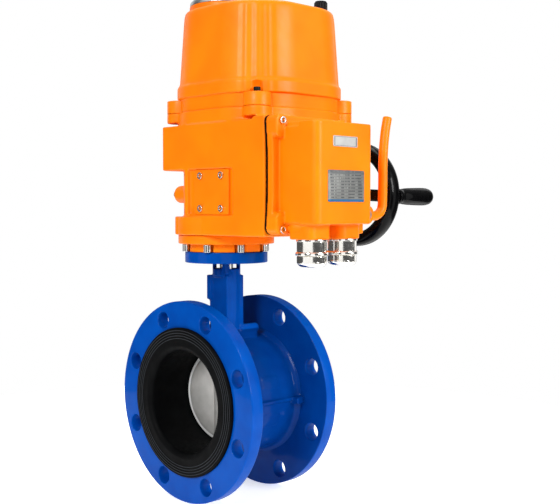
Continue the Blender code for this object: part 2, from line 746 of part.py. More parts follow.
def handwheel():
    """Three-spoked wheel with a turning grip, on the end of the worm shaft."""
    rim = [
        (WHEEL_RADIUS - 0.007, 0.0115),
        (WHEEL_RADIUS - 0.002, 0.0085),
        (WHEEL_RADIUS, 0.004),
        (WHEEL_RADIUS, -0.004),
        (WHEEL_RADIUS - 0.002, -0.0085),
        (WHEEL_RADIUS - 0.007, -0.0115),
        (WHEEL_RADIUS - 0.013, -0.0115),
        (WHEEL_RADIUS - 0.019, -0.006),
        (WHEEL_RADIUS - 0.019, 0.006),
        (WHEEL_RADIUS - 0.013, 0.0115),
    ]
    at = (WHEEL_X, WORM_Y, WORM_Z)
    wheel = turned("handwheel", rim, at, "X", DARK, True, 32)
    join(wheel, cylinder("wheel_hub", 0.0170, 0.023, (WHEEL_X - 0.013, WORM_Y, WORM_Z), "X", sides=20))
    for i in range(3):
        spoke = box("spoke", (-0.005, -0.060, -0.008), (0.005, -0.010, 0.008))
        turn = Matrix.Rotation(TAU * i / 3 - GRIP_ANGLE, 4, "X")
        spoke.matrix_world = Matrix.Translation(at) @ turn @ spoke.matrix_world
        join(wheel, spoke)
    grip_y = WORM_Y - GRIP_REACH * math.cos(GRIP_ANGLE)
    grip_z = WORM_Z + GRIP_REACH * math.sin(GRIP_ANGLE)
    cut(
        wheel,
        cylinder("hub_bore", 0.0063, 0.06, (0.180, WORM_Y, WORM_Z), "X", sides=20),
        cylinder("spindle_hole", 0.0033, 0.06, (0.180, grip_y, grip_z), "X", sides=14),
    )
    profile = [
        (0.0, 0.0725),
        (0.0050, 0.0725),
        (0.0050, 0.0685),
        (0.0030, 0.0685),
        (0.0030, -0.010),
        (0.0, -0.010),
    ]
    at = (0.2125, grip_y, grip_z)
    spindle = turned("grip_spindle", profile, at, "X", STEEL, steps=14)
    nut = cylinder("hub_nut", 0.0100, 0.0080, (WHEEL_X + 0.0103, WORM_Y, WORM_Z), "X", STEEL, 6)
    cut(nut, cylinder("nut_bore", 0.0063, 0.02, (WHEEL_X + 0.0073, WORM_Y, WORM_Z), "X", sides=20))
    grip = turned(
        "wheel_grip",
        [
            (0.0054, 0.0730),
            (0.0085, 0.0730),
            (0.0115, 0.0700),
            (0.0121, 0.0620),
            (0.0117, 0.0250),
            (0.0098, 0.0080),
            (0.0105, 0.0055),
            (0.0105, 0.0),
            (0.0034, 0.0),
            (0.0034, 0.0655),
            (0.0054, 0.0655),
        ],
        (WHEEL_X + 0.0119, grip_y, grip_z),
        "X",
        DARK,
        True,
        18,
    )
    return [wheel, spindle, nut], grip, (WHEEL_X, grip_y, grip_z)


def clutch():
    """Bent lever and its shaft, which let the handwheel take over from the motor."""
    z = CLUTCH_Z + 0.003
    shaft = cylinder("clutch_shaft", 0.0060, 0.0330, (CLUTCH_X, -0.1570, z), "Y", STEEL, 20)
    hub = cylinder("lever_hub", 0.0115, 0.0130, (CLUTCH_X, -0.1562, z), "Y", sides=24)
    corner = (0.114, 0.238)
    bend = arc(corner, 0.011, 0.75, 1.0, 5)
    line = [(CLUTCH_X + 0.009, z - 0.0005), *bend, (0.125, 0.262), (0.1252, 0.288)]
    line += [(0.1258, 0.300), (0.1272, 0.316), (0.1298, 0.332), (0.1345, 0.350)]
    points = [(x, LEVER_Y, height) for x, height in line]
    lever = rod("clutch_lever", points, 0.0057, ORANGE)
    join(lever, hub)
    cut(lever, cylinder("lever_bore", 0.0063, 0.05, (CLUTCH_X, -0.18, z), "Y", sides=20))
    return [shaft, lever]


# ---------------------------------------------------------------- terminal box


def terminal_box():
    """Wiring box with its gasket, screws, labels and two cable glands."""
    mid_z = (PAD_LOW + PAD_HIGH) / 2
    half_z = (PAD_HIGH - PAD_LOW) / 2
    back = FACE_Y - 2 * GAP
    thick = back - GASKET_FRONT
    outline = rounded(PAD_HALF - 0.001, half_z - 0.001, 0.008)
    gasket = plate("terminal_gasket", outline, thick, (0, 0, 0), paint=RUBBER)
    outline = rounded(PAD_HALF - 0.020, half_z - 0.016, 0.006)
    opening = plate("gasket_opening", outline, 0.03, (0, 0, -0.01))
    upright = Matrix.Rotation(math.pi / 2, 4, "X")
    gasket.matrix_world = Matrix.Translation((0, back, mid_z)) @ upright
    opening.matrix_world = Matrix.Translation((0, back + 0.01, mid_z)) @ upright
    cut(gasket, opening)
    front = GASKET_FRONT - GAP
    outline = rounded(PAD_HALF, half_z, 0.008)
    cover = plate("terminal_cover", outline, front - PAD_FRONT, (0, 0, 0), paint=ORANGE)
    cover.matrix_world = Matrix.Translation((0, front, mid_z)) @ upright
    depth = 0.031
    outline = rounded(BOX_HALF, depth, 0.0055, count=2)
    place = (0, BOX_FRONT + depth, BOX_LOW)
    join(cover, plate("terminal_shell", outline, BOX_HIGH - BOX_LOW, place))
    outline = rounded(0.018, 0.0185, 0.009, count=3)
    for side in (-1, 1):
        place = (side * GLAND_X, -0.1685, 0.2008)
        join(cover, plate("conduit_boss", outline, 0.022, place))
    outline = rounded(0.0100, 0.0125, 0.0075, count=3)
    for x in (-0.0498, 0.0498):
        for z in (0.2187, 0.3271):
            boss = plate("corner_boss", outline, front - 0.001 - BOSS_FRONT, (0, 0, 0))
            boss.matrix_world = Matrix.Translation((x, front - 0.001, z)) @ upright
            join(cover, boss)
    for x in (-0.0510, 0.0510):
        for z in (0.2120, 0.3330):
            cut(cover, cylinder("screw_pocket", 0.0085, 0.0216, (x, -0.1724, z), "Y", sides=20))
            cut(cover, cylinder("screw_hole", 0.0028, 0.04, (x, -0.1600, z), "Y", sides=10))
    inside = box("terminal_space", (-0.0400, -0.1940, 0.2240), (0.0400, -0.120, 0.3250))
    cut(cover, inside)
    cut(gasket, *[m.object for m in cover.modifiers if m.object.name.startswith("screw_hole")])
    for side in (-1, 1):
        cut(cover, cylinder("gland_tap", 0.0104, 0.05, (side * GLAND_X, GLAND_Y, 0.19), sides=16))
    index = 0
    for x in (-0.0510, 0.0510):
        for z in (0.2120, 0.3330):
            index += 1
            place = (x, BOSS_FRONT - GAP, z)
            pan_screw(f"terminal_screw_{index}", place, "Y", 0.0044, 0.0026, 0.0284)
    strip = box("terminal_strip", (-0.0300, -0.1450, 0.2600), (0.0300, FACE_Y - 0.0006, 0.2780), WHITE)
    for i in range(6):
        x = -0.025 + 0.010 * i
        cut(strip, cylinder("terminal_hole", 0.0025, 0.01, (x, -0.1500, 0.2690), "Y", sides=8))
    box("nameplate", (-0.0298, BOX_FRONT - 0.0009, 0.2428), (0.0300, BOX_FRONT - GAP, 0.2778), GREY)
    box("rating_label", (-0.0215, BOX_FRONT - 0.0008, 0.3035), (0.0185, BOX_FRONT - GAP, 0.3155), WHITE)


def cable_glands():
    """Hexagon bodies screwed into the conduit bosses, each with its clamping nut."""
    for i, side in enumerate((-1, 1)):
        place = (side * GLAND_X, GLAND_Y)
        name = f"cable_gland_{i + 1}"
        gland = cylinder(name, 0.0188, 0.0140, (*place, 0.1865), paint=NICKEL, sides=6)
        join(
            gland,
            cylinder("gland_flange", 0.0186, 0.0035, (*place, 0.1833), sides=24),
            cylinder("gland_thread", 0.0100, 0.0130, (*place, 0.1995), sides=16),
        )
        name = f"gland_nut_{i + 1}"
        nut = cylinder(name, 0.0188, 0.0090, (*place, 0.1738), paint=NICKEL, sides=6)
        join(nut, cylinder("nut_dome", 0.0120, 0.0042, (*place, 0.1700), sides=18, top=0.0160))
        bore = cylinder("cable_bore", 0.0065, 0.06, (*place, 0.162), sides=14)
        cut(gland, bore)
        cut(nut, bore)


valve_body()
seat_liner()
quarter_turn = disc_and_stem()
stem_guides()
base_plate()
gear_housing()
bearing_plate()
pan_screw("stop_screw", (-0.028, 0.0645, 0.2534), "Y", 0.0045, 0.0043, 0.0020, 0.0300)
top_cover()
indicator()
quarter_turn += output_train()
switch_and_board()
worm_parts, motor_parts = worm_train()
wheel_parts, grip, grip_centre = handwheel()
clutch_parts = clutch()
terminal_box()
cable_glands()
carried("stem_axis", (0, 0, 0), quarter_turn)
carried("worm_axis", (0, WORM_Y, WORM_Z), worm_parts + wheel_parts)
carried("motor_axis", (0, MOTOR_Y, MOTOR_Z), motor_parts)
carried("grip_axis", grip_centre, [grip])
carried("clutch_axis", (CLUTCH_X, -0.150, CLUTCH_Z + 0.003), clutch_parts)
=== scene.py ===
"""Looks of a motorised, double-flanged butterfly valve.

Shapes are worked out in millimetres in the frame of the CAD model: the pipe axis is X, the stem
is Z, and the terminal box is on the -Y side. Each new piece is a grid of points, or a union of
such grids.
"""

import json
import math

import bmesh
import bpy
import numpy as np
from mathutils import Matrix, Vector


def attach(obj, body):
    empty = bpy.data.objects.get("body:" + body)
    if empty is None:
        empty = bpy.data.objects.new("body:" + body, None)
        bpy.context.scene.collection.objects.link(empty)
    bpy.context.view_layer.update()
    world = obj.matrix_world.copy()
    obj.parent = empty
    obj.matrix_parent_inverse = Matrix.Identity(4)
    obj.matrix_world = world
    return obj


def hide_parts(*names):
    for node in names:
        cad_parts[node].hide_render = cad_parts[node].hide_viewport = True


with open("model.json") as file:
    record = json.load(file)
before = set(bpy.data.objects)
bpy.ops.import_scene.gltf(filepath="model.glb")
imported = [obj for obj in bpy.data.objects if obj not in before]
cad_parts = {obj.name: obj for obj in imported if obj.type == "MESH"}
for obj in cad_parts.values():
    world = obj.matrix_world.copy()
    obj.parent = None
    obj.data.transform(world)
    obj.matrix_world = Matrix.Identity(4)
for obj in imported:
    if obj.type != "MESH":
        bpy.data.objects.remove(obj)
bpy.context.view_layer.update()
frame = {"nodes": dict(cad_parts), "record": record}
NODES = frame["nodes"]
SLOTS = {row["node"]: row["material_slot"] for row in frame["record"]["subparts"]}
BODY_OF = {
    node: body for body, nodes in frame["record"]["behaviour"]["bodies"].items() for node in nodes
}
MM = 0.001
TAU = 2 * math.pi

# Sizes that more than one piece uses, in millimetres.
WORM_Y, WORM_Z = -39.0, 255.0
WHEEL_X = 203.0
GRIP_Y, GRIP_Z = -98.918, 251.860
COVER_X, COVER_Y = 28.0, -31.0
SCREW_REACH = 73.5
LUG_REACH = 70.0
BOX_FRONT = -200.0
PAD_Z = 273.0
GLANDS = ((-25.3, -172.0), (25.3, -172.0))
CLUTCH = (90.0, -150.0, 228.0)
LINER_RINGS = (87.6, 84.4, 81.2, 78.0)
RING_PITCH = 3.2
BASE_CIRCLE = 52.5
BOSS_FRONT = -150.8
BOX_SCREWS = [(x, z) for x in (-51.0, 51.0) for z in (212.0, 333.0)]
REST_TURN = math.radians(10)

# The studio: tall soft boxes stand round the object, so that plated metal shows bright and dark
# bands. Only reflections see them.
BAND_LIGHT = 1.0
BAND_TURN = 0.4

# ---------------------------------------------------------------- shapes


def grid(points, around=True, ring=False):
    """Quads between neighbours of an (n, m) grid. `around` closes n on itself, `ring` closes m."""
    n, m = points.shape[:2]
    index = np.arange(n * m).reshape(n, m)
    if around:
        index = np.vstack([index, index[:1]])
    if ring:
        index = np.hstack([index, index[:, :1]])
    corners = (index[:-1, :-1], index[1:, :-1], index[1:, 1:], index[:-1, 1:])
    return points.reshape(-1, 3), np.stack(corners, -1).reshape(-1, 4)


def together(*shapes):
    """Several shapes as one, each still its own closed surface."""
    starts = np.cumsum([0] + [len(points) for points, _ in shapes])
    faces = [quads + start for (_, quads), start in zip(shapes, starts)]
    return np.vstack([points for points, _ in shapes]), np.vstack(faces)


def stand(shape, at=(0, 0, 0), axis="Z"):
    """Moves a shape whose own axis is Z to a point, with that axis along X, Y or Z."""
    points, quads = shape
    x, y, z = points.T
    along = {"X": (z, y, -x), "Y": (x, z, -y), "Z": (x, y, z)}[axis]
    return np.stack(along, 1) + np.asarray(at, float), quads


def spun(shape, angle, axis="Z", about=(0, 0, 0)):
    """Turns a shape about a line through a point, by the right-hand rule."""
    points, quads = shape
    c, s = math.cos(angle), math.sin(angle)
    first, second = {"X": (1, 2), "Y": (2, 0), "Z": (0, 1)}[axis]
    moved = points - np.asarray(about, float)
    out = moved.copy()
    out[:, first] = c * moved[:, first] - s * moved[:, second]
    out[:, second] = s * moved[:, first] + c * moved[:, second]
    return out + np.asarray(about, float), quads


def eased(points, radius, ring=False, count=5):
    """A line with each corner swapped for a parabola that starts and ends `radius` from it."""
    p = np.asarray(points, float)
    reach = np.broadcast_to(np.asarray(radius, float).reshape(-1, 1), (len(p), 1))

    def toward(q):
        """Where the corner's curve starts on the side that leads to a neighbour."""
        gap = q - p
        length = np.maximum(np.linalg.norm(gap, axis=1, keepdims=True), 1e-9)
        return p + gap / length * np.minimum(reach, 0.45 * length)

    start, end = toward(np.roll(p, 1, 0)), toward(np.roll(p, -1, 0))
    t = np.linspace(0, 1, count)[:, None, None]
    curve = ((1 - t) ** 2 * start + 2 * t * (1 - t) * p + t**2 * end).transpose(1, 0, 2)
    if not ring:
        curve[0], curve[-1] = p[0], p[-1]
    return curve.reshape(-1, 2)


def turned(profile, at=(0, 0, 0), axis="Z", steps=96, ring=False):
    """(radius, height) points carried once round the axis."""
    radius, height = np.asarray(profile, float).T
    angle = np.linspace(0, TAU, steps, endpoint=False)[:, None]
    points = np.stack(
        [radius * np.cos(angle), radius * np.sin(angle), height + 0 * angle], -1
    )
    return stand(grid(points, ring=ring), at, axis)


def drum(radius, low, high, at=(0, 0, 0), axis="Z", edge=0.8, steps=96):
    """A solid cylinder with rounded rims."""
    profile = eased([(0, low), (radius, low), (radius, high), (0, high)], edge)
    return turned(profile, at, axis, steps)


def pipe(outer, inner, low, high, at=(0, 0, 0), axis="Z", edge=0.5, steps=96):
    """A round ring with rounded edges."""
    corners = [(outer, low), (outer, high), (inner, high), (inner, low)]
    return turned(eased(corners, edge, True), at, axis, steps, True)


def slab(outline, low, high, edge=0.6, centre=(0, 0)):
    """A plate of any outline seen whole from its centre. Its rims are rounded to `edge`."""
    outline = np.asarray(outline, float)
    run = np.roll(outline, -1, 0) - np.roll(outline, 1, 0)
    normal = np.stack([run[:, 1], -run[:, 0]], 1)
    normal /= np.linalg.norm(normal, axis=1, keepdims=True)
    t = np.linspace(0, TAU / 4, 5)
    inset = edge * (1 - np.sin(t))
    height = edge * (1 - np.cos(t))
    insets = np.concatenate([inset, inset[::-1]])
    heights = np.concatenate([low + height, (high - height)[::-1]])
    rings = outline[:, None, :] - insets[None, :, None] * normal[:, None, :]
    flat = np.broadcast_to(np.asarray(centre, float), (len(outline), 1, 2))
    flat = np.concatenate([flat, rings, flat], 1)
    z = np.broadcast_to(np.concatenate([[low], heights, [high]]), flat.shape[:2])
    return grid(np.concatenate([flat, z[..., None]], -1))


def rounded(half_x, half_y, radius, centre=(0, 0), count=8):
    """A rectangle with quarter-circle corners, as one line of points."""
    turn = np.arange(4)[:, None]
    angle = (turn + np.linspace(0, 1, count)) * TAU / 4
    sign_x = np.where((turn == 0) | (turn == 3), 1, -1)
    sign_y = np.where(turn < 2, 1, -1)
    x = centre[0] + sign_x * (half_x - radius) + radius * np.cos(angle)
    y = centre[1] + sign_y * (half_y - radius) + radius * np.sin(angle)
    return np.stack([x.ravel(), y.ravel()], 1)


def block(low, high, edge=0.4):
    """A box between two corners, with softened upright and level edges."""
    low, high = np.asarray(low, float), np.asarray(high, float)
    half, middle = (high - low) / 2, (high + low) / 2
    outline = rounded(half[0], half[1], max(edge, 0.2), middle, 4)
    return slab(outline, low[2], high[2], edge, middle[:2])


def square_reach(angle, half, corner):
    """Distance from the middle of a rounded square to its edge, along an angle."""
    c, s = np.abs(np.cos(angle)), np.abs(np.sin(angle))
    big, small = np.maximum(c, s), np.minimum(c, s)
    middle = half - corner
    flat = half / big
    across = middle * (big + small)
    round_ = across + np.sqrt(np.maximum(across**2 - 2 * middle**2 + corner**2, 0))
    return np.where(flat * small <= middle, flat, round_)


def circle_reach(angle, distance, direction, radius):
    """Far side of a circle that stands `distance` away, along an angle, or 0 on a miss."""
    gap = angle - direction
    inside = radius**2 - (distance * np.sin(gap)) ** 2
    hit = (inside > 0) & (np.cos(gap) > 0)
    return np.where(hit, distance * np.cos(gap) + np.sqrt(np.maximum(inside, 0)), 0)


def swept(path, radius, steps=28):
    """A round bar along a line in the XZ plane, with domed ends."""
    path = np.asarray(path, float)
    along = np.gradient(path, axis=0)
    along /= np.linalg.norm(along, axis=1, keepdims=True)
    side = np.stack([-along[:, 2], np.zeros(len(path)), along[:, 0]], 1)
    angle = np.linspace(0, TAU, steps, endpoint=False)[:, None, None]
    run = np.cumsum(np.r_[0, np.linalg.norm(np.diff(path, axis=0), axis=1)])
    left = np.clip(np.minimum(run, run[-1] - run) / (0.45 * radius), 0, 1)
    size = (radius * np.sqrt(1 - (1 - left) ** 2))[None, :, None]
    offset = np.cos(angle) * side + np.sin(angle) * np.array([0.0, 1.0, 0.0])
    return grid(path + size * offset)


def flowing(points, count=12):
    """A smooth line through all its points: Catmull-Rom pieces between neighbours."""
    p = np.asarray(points, float)
    p = np.vstack([2 * p[0] - p[1], p, 2 * p[-1] - p[-2]])
    t = np.linspace(0, 1, count, endpoint=False)[:, None, None]
    a, b, c, d = p[:-3], p[1:-2], p[2:-1], p[3:]
    curve = 0.5 * (
        2 * b + (c - a) * t + (2 * a - 5 * b + 4 * c - d) * t**2 + (3 * b - a - 3 * c + d) * t**3
    )
    return np.vstack([curve.transpose(1, 0, 2).reshape(-1, 3), points[-1]])


def hexagon(at, low, high, apothem, bore=0.0, flatness=1.0):
    """A hexagon nut. Each end is cut back by a 30 degree cone, as nuts are chamfered.

    Flatness under 1 swells the six sides towards a circle, as on a plated and polished nut.
    """
    angle = np.linspace(0, TAU, 96, endpoint=False)[:, None]
    flats = apothem / np.cos((angle + TAU / 12) % (TAU / 6) - TAU / 12) ** flatness
    depth = np.array([0.0, 0.25, 0.6, 1.0, 1.4, 2.0])
    height = np.concatenate([low + depth, (high - depth)[::-1]])
    cone = np.concatenate([depth, depth[::-1]]) * 1.73 + 0.965 * apothem
    radius = np.minimum(flats, cone)
    inner = np.full_like(angle, bore)
    radius = np.hstack([inner, radius, inner])
    height = np.concatenate([[low], height, [high]]) + 0 * angle
    points = np.stack([radius * np.cos(angle), radius * np.sin(angle), height], -1)
    return stand(grid(points, ring=bore > 0), (*at, 0))


def screw(at, axis, radius, height, socket, out=-1, shank=8.0):
    """A cheese-head screw: head on the `out` side of `at`, with a round socket in its top."""
    profile = eased(
        [
            (0, -out * shank),
            (0.55 * radius, -out * shank),
            (0.55 * radius, 0),
            (radius, 0),
            (radius, out * height),
            (socket, out * height),
            (socket, -out * 2.0),
            (0, -out * 2.0),
        ],
        0.5,
    )
    return turned(profile, at, axis, 28)


# ---------------------------------------------------------------- meshes


def mesh_of(name, shape):
    """The mesh in metres, with seams and poles merged and its faces turned outwards."""
    points, quads = shape
    mesh = bpy.data.meshes.new(name)
    mesh.from_pydata(points * MM, [], quads.tolist())
    work = bmesh.new()
    work.from_mesh(mesh)
    bmesh.ops.remove_doubles(work, verts=work.verts, dist=2e-6)
    bmesh.ops.recalc_face_normals(work, faces=work.faces)
    work.to_mesh(mesh)
    work.free()
    return mesh


def helper(name, mesh):
    """An object at the origin that holds a mesh."""
    made = bpy.data.objects.new(name, mesh)
    bpy.context.scene.collection.objects.link(made)
    return made


def casting(name, adds, cuts=(), grain=1.3, soften=5, keep=1.0):
    """One cast form: closed forms joined, others cut away, and every edge melted a little."""
    solid = helper(name, mesh_of(name, together(*adds)))
    spare = [solid]
    if cuts:
        tool = helper(name + "_cut", mesh_of(name + "_cut", together(*cuts)))
        spare.append(tool)
        less = solid.modifiers.new("less", "BOOLEAN")
        less.operation, less.object, less.use_self = "DIFFERENCE", tool, True
    melt = solid.modifiers.new("melt", "REMESH")
    melt.mode, melt.voxel_size = "VOXEL", grain * MM
    flow = solid.modifiers.new("flow", "SMOOTH")
    flow.factor, flow.iterations = 0.5, soften
    if keep < 1:
        thin = solid.modifiers.new("thin", "DECIMATE")
        thin.ratio = keep
    graph = bpy.context.evaluated_depsgraph_get()
    mesh = bpy.data.meshes.new_from_object(solid.evaluated_get(graph))
    for old in spare:
        bpy.data.objects.remove(old)
    return mesh


def show(name, mesh, paint, nodes, sharp=38):
    """Puts a finished mesh in the scene in place of CAD nodes that ride on one body."""
    if not isinstance(mesh, bpy.types.Mesh):
        mesh = mesh_of(name, mesh)
    mesh.name = name
    mesh.materials.clear()
    mesh.materials.append(paint)
    mesh.shade_smooth()
    if sharp:
        mesh.set_sharp_from_angle(angle=math.radians(sharp))
    made = helper(name, mesh)
    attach(made, BODY_OF[nodes[0]])
    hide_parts(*nodes)
    return made


# ---------------------------------------------------------------- materials


def colour(code):
    """An sRGB hex code as linear red, green, blue and alpha."""
    parts = [int(code[i : i + 2], 16) / 255 for i in (1, 3, 5)]
    return (
        *[c / 12.92 if c <= 0.04045 else ((c + 0.055) / 1.055) ** 2.4 for c in parts],
        1.0,
    )


def add(tree, kind, inputs=None, **settings):
    """Adds one shader node, with its settings and with values or links on its inputs."""
    made = tree.nodes.new("ShaderNode" + kind)
    for key, value in settings.items():
        setattr(made, key, value)
    for key, value in (inputs or {}).items():
        if isinstance(value, bpy.types.NodeSocket):
            tree.links.new(value, made.inputs[key])
        else:
            made.inputs[key].default_value = value
    return made


def begin(name, **sockets):
    """A new material: its tree, its shader and object coordinates in millimetres."""
    paint = bpy.data.materials.new(name)
    paint.use_nodes = True
    tree = paint.node_tree
    shader = tree.nodes["Principled BSDF"]
    for key, value in sockets.items():
        shader.inputs[key.replace("_", " ")].default_value = value
    place = add(tree, "TexCoord").outputs["Object"]
    scaled = add(tree, "VectorMath", {0: place, "Scale": 1 / MM}, operation="SCALE")
    return paint, tree, shader, scaled.outputs[0]


def speckle(tree, place, size, detail=2.0, stretch=(1, 1, 1)):
    """Noise whose blotches are about `size` mm across, stretched along an axis if asked."""
    scaled = add(tree, "Mapping", {"Vector": place, "Scale": stretch}).outputs[0]
    return add(
        tree, "TexNoise", {"Vector": scaled, "Scale": 1 / size, "Detail": detail}
    ).outputs["Fac"]


def between(tree, factor, low, high, start=0.3, end=0.7):
    """A number or colour that goes from low to high as the factor goes from start to end."""
    share = add(
        tree, "MapRange", {"Value": factor, "From Min": start, "From Max": end}
    ).outputs[0]
    if isinstance(low, str):
        mix = add(tree, "Mix", {"Factor": share}, data_type="RGBA")
        mix.inputs[6].default_value = colour(low)
        mix.inputs[7].default_value = colour(high)
        return mix.outputs[2]
    return add(
        tree, "MapRange", {"Value": share, "To Min": low, "To Max": high}
    ).outputs[0]


def step_of(tree, value, edge, above=True):
    """1 where the value is above the edge, or below it, else 0."""
    kind = "GREATER_THAN" if above else "LESS_THAN"
    return add(tree, "Math", {0: value, 1: edge}, operation=kind).outputs[0]


def math_of(tree, kind, first, second=0.0):
    """The output of one Math node."""
    return add(tree, "Math", {0: first, 1: second}, operation=kind).outputs[0]


def mixed(tree, share, first, second):
    """The second colour where the share is 1, and the first where it is 0."""
    mix = add(tree, "Mix", {"Factor": share}, data_type="RGBA")
    for index, value in ((6, first), (7, second)):
        if isinstance(value, str):
            mix.inputs[index].default_value = colour(value)
        else:
            tree.links.new(value, mix.inputs[index])
    return mix.outputs[2]


def bumped(tree, shader, height, depth, strength=1.0, under=None):
    """Surface relief: a height field that is `depth` millimetres deep."""
    inputs = {"Height": height, "Distance": depth * MM, "Strength": strength}
    if under is not None:
        inputs["Normal"] = under
    bump = add(tree, "Bump", inputs)
    tree.links.new(bump.outputs[0], shader.inputs["Normal"])
    return bump.outputs[0]


def orange_powder_coat():
    """Semi-gloss powder coat on die-cast metal: deep colour under a fine orange-peel skin."""
    paint, tree, shader, place = begin(
        "orange_powder_coat", Coat_Weight=0.06, Coat_Roughness=0.22, Specular_IOR_Level=0.16
    )
    broad = speckle(tree, place, 55.0)
    shader_colour = between(tree, broad, "#FF7B00", "#FF8700")
    tree.links.new(shader_colour, shader.inputs["Base Color"])
    rough = between(tree, speckle(tree, place, 7.0), 0.36, 0.48)
    tree.links.new(rough, shader.inputs["Roughness"])
    wavy = bumped(tree, shader, speckle(tree, place, 9.0, 1.0), 0.10)
    bumped(tree, shader, speckle(tree, place, 1.7), 0.05, 0.7, wavy)
    return paint


def blue_enamel():
    """Gloss enamel over a sand casting: the sand's pitted waves show through a glassy skin.

    Between the flanges the blue is darker as painted shade; the lights alone leave it too pale.
    """
    paint, tree, shader, place = begin(
        "blue_enamel", Coat_Weight=0.12, Coat_Roughness=0.05, Specular_IOR_Level=0.02
    )
    broad = speckle(tree, place, 30.0)
    axes = add(tree, "SeparateXYZ", {0: place}).outputs
    along = math_of(tree, "ABSOLUTE", axes["X"])
    flat = add(tree, "CombineXYZ", {"Y": axes["Y"], "Z": axes["Z"]}).outputs[0]
    reach = add(tree, "VectorMath", {0: flat}, operation="LENGTH").outputs["Value"]
    # Painted shade: this mask covers the barrel and the inner flange faces between the flanges.
    painted_shade_mask = math_of(tree, "MAXIMUM", step_of(tree, reach, 86.0, False), step_of(tree, along, 52.2))
    painted_shade_mask = math_of(tree, "MULTIPLY", painted_shade_mask, step_of(tree, along, 53.6, False))
    lit = between(tree, broad, "#004199", "#004BA8")
    # dull is the painted shade colour, about half as bright as the lit blue.
    dull = between(tree, broad, "#00307A", "#003884")
    tree.links.new(mixed(tree, painted_shade_mask, lit, dull), shader.inputs["Base Color"])
    rough = between(tree, speckle(tree, place, 4.0), 0.30, 0.46)
    tree.links.new(rough, shader.inputs["Roughness"])
    wavy = bumped(tree, shader, speckle(tree, place, 12.0, 1.0), 0.35, 0.8)
    bumped(tree, shader, speckle(tree, place, 2.2, 3.0), 0.09, 0.8, wavy)
    return paint


def moulded_rubber():
    """Moulded EPDM: near-black and satin, with a faint grey bloom; the face ring crests are paler
    as a painted highlight.
    """
    paint, tree, shader, place = begin("moulded_rubber", Specular_IOR_Level=0.04)
    bloom = speckle(tree, place, 16.0, 3.0)
    axes = add(tree, "SeparateXYZ", {0: place}).outputs
    flat = add(tree, "CombineXYZ", {"Y": axes["Y"], "Z": axes["Z"]}).outputs[0]
    reach = add(tree, "VectorMath", {0: flat}, operation="LENGTH").outputs["Value"]
    past_first = math_of(tree, "SUBTRACT", reach, LINER_RINGS[-1])
    wave = math_of(tree, "COSINE", math_of(tree, "MULTIPLY", past_first, TAU / RING_PITCH))
    inner, outer = 76.6, 89.2
    # Painted highlight: the crests of the raised face rings are coloured paler.
    ring_crest_highlight = math_of(tree, "MULTIPLY", step_of(tree, wave, 0.72), step_of(tree, reach, inner))
    ring_crest_highlight = math_of(tree, "MULTIPLY", ring_crest_highlight, step_of(tree, reach, outer, False))
    tone = between(tree, bloom, "#030304", "#090A0B")
    tree.links.new(mixed(tree, ring_crest_highlight, tone, "#33363A"), shader.inputs["Base Color"])
    tree.links.new(
        between(tree, speckle(tree, place, 5.0), 0.42, 0.60), shader.inputs["Roughness"]
    )
    bumped(tree, shader, speckle(tree, place, 0.9), 0.03, 0.6)
    return paint


def satin_stainless(name, low="#BDBDBA", high="#D2D2CF", rough=(0.26, 0.40), lines=0.5):
    """Machined stainless steel: neutral grey, with fine tool lines that spread its highlights."""
    paint, tree, shader, place = begin(name, Metallic=1.0)
    cloud = speckle(tree, place, 14.0)
    tree.links.new(between(tree, cloud, low, high), shader.inputs["Base Color"])
    streak = speckle(tree, place, lines, 2.0, (1, 1, 0.06))
    tree.links.new(between(tree, streak, *rough), shader.inputs["Roughness"])
    bumped(tree, shader, streak, 0.01, 0.5)
    return paint


def cast_disc_steel():
    """Cast stainless disc: the face is bead-blasted and pale; the turned edge is smoother, and near
    white in colour as a painted highlight.
    """
    paint, tree, shader, place = begin("cast_disc_steel", Metallic=0.85)
    grains = speckle(tree, place, 1.3, 3.0)
    cloud = speckle(tree, place, 18.0, 3.0)
    reach = add(tree, "VectorMath", {0: place}, operation="LENGTH").outputs["Value"]
    face = between(tree, cloud, "#A9A8A5", "#BFBEBB")
    # Painted highlight: the rim's near-white colour stands in for light; its roughness and metallic
    # change below are real.
    painted_rim_highlight = between(tree, reach, 0.0, 1.0, 55.8, 57.2)
    tree.links.new(mixed(tree, painted_rim_highlight, face, "#FFFFFE"), shader.inputs["Base Color"])
    edge = between(tree, reach, 0.44, 0.20, 54.0, 56.5)
    tree.links.new(edge, shader.inputs["Roughness"])
    bare = between(tree, reach, 0.55, 0.12, 55.5, 57.5)
    tree.links.new(bare, shader.inputs["Metallic"])
    bumped(tree, shader, grains, 0.04, 0.6)
    return paint


def bright_nickel():
    """Nickel plate on brass: a warm mirror with slight waviness from polishing."""
    paint, tree, shader, place = begin("bright_nickel", Metallic=1.0)
    tone = speckle(tree, place, 11.0)
    tree.links.new(
        between(tree, tone, "#ECE9E2", "#F6F4EF"), shader.inputs["Base Color"]
    )
    tree.links.new(
        between(tree, speckle(tree, place, 3.0), 0.07, 0.15), shader.inputs["Roughness"]
    )
    bumped(tree, shader, speckle(tree, place, 4.0, 1.0), 0.03, 0.5)
    return paint


def black_phenolic():
    """Polished phenolic moulding: deep black with a clear gloss and a trace of flow marks."""
    paint, tree, shader, place = begin(
        "black_phenolic", Coat_Weight=0.16, Coat_Roughness=0.05, Specular_IOR_Level=0.04
    )
    tree.links.new(
        between(tree, speckle(tree, place, 20.0), "#020203", "#070708"),
        shader.inputs["Base Color"],
    )
    tree.links.new(
        between(tree, speckle(tree, place, 6.0), 0.16, 0.30), shader.inputs["Roughness"]
    )
    bumped(tree, shader, speckle(tree, place, 14.0, 1.0), 0.05, 0.5)
    return paint


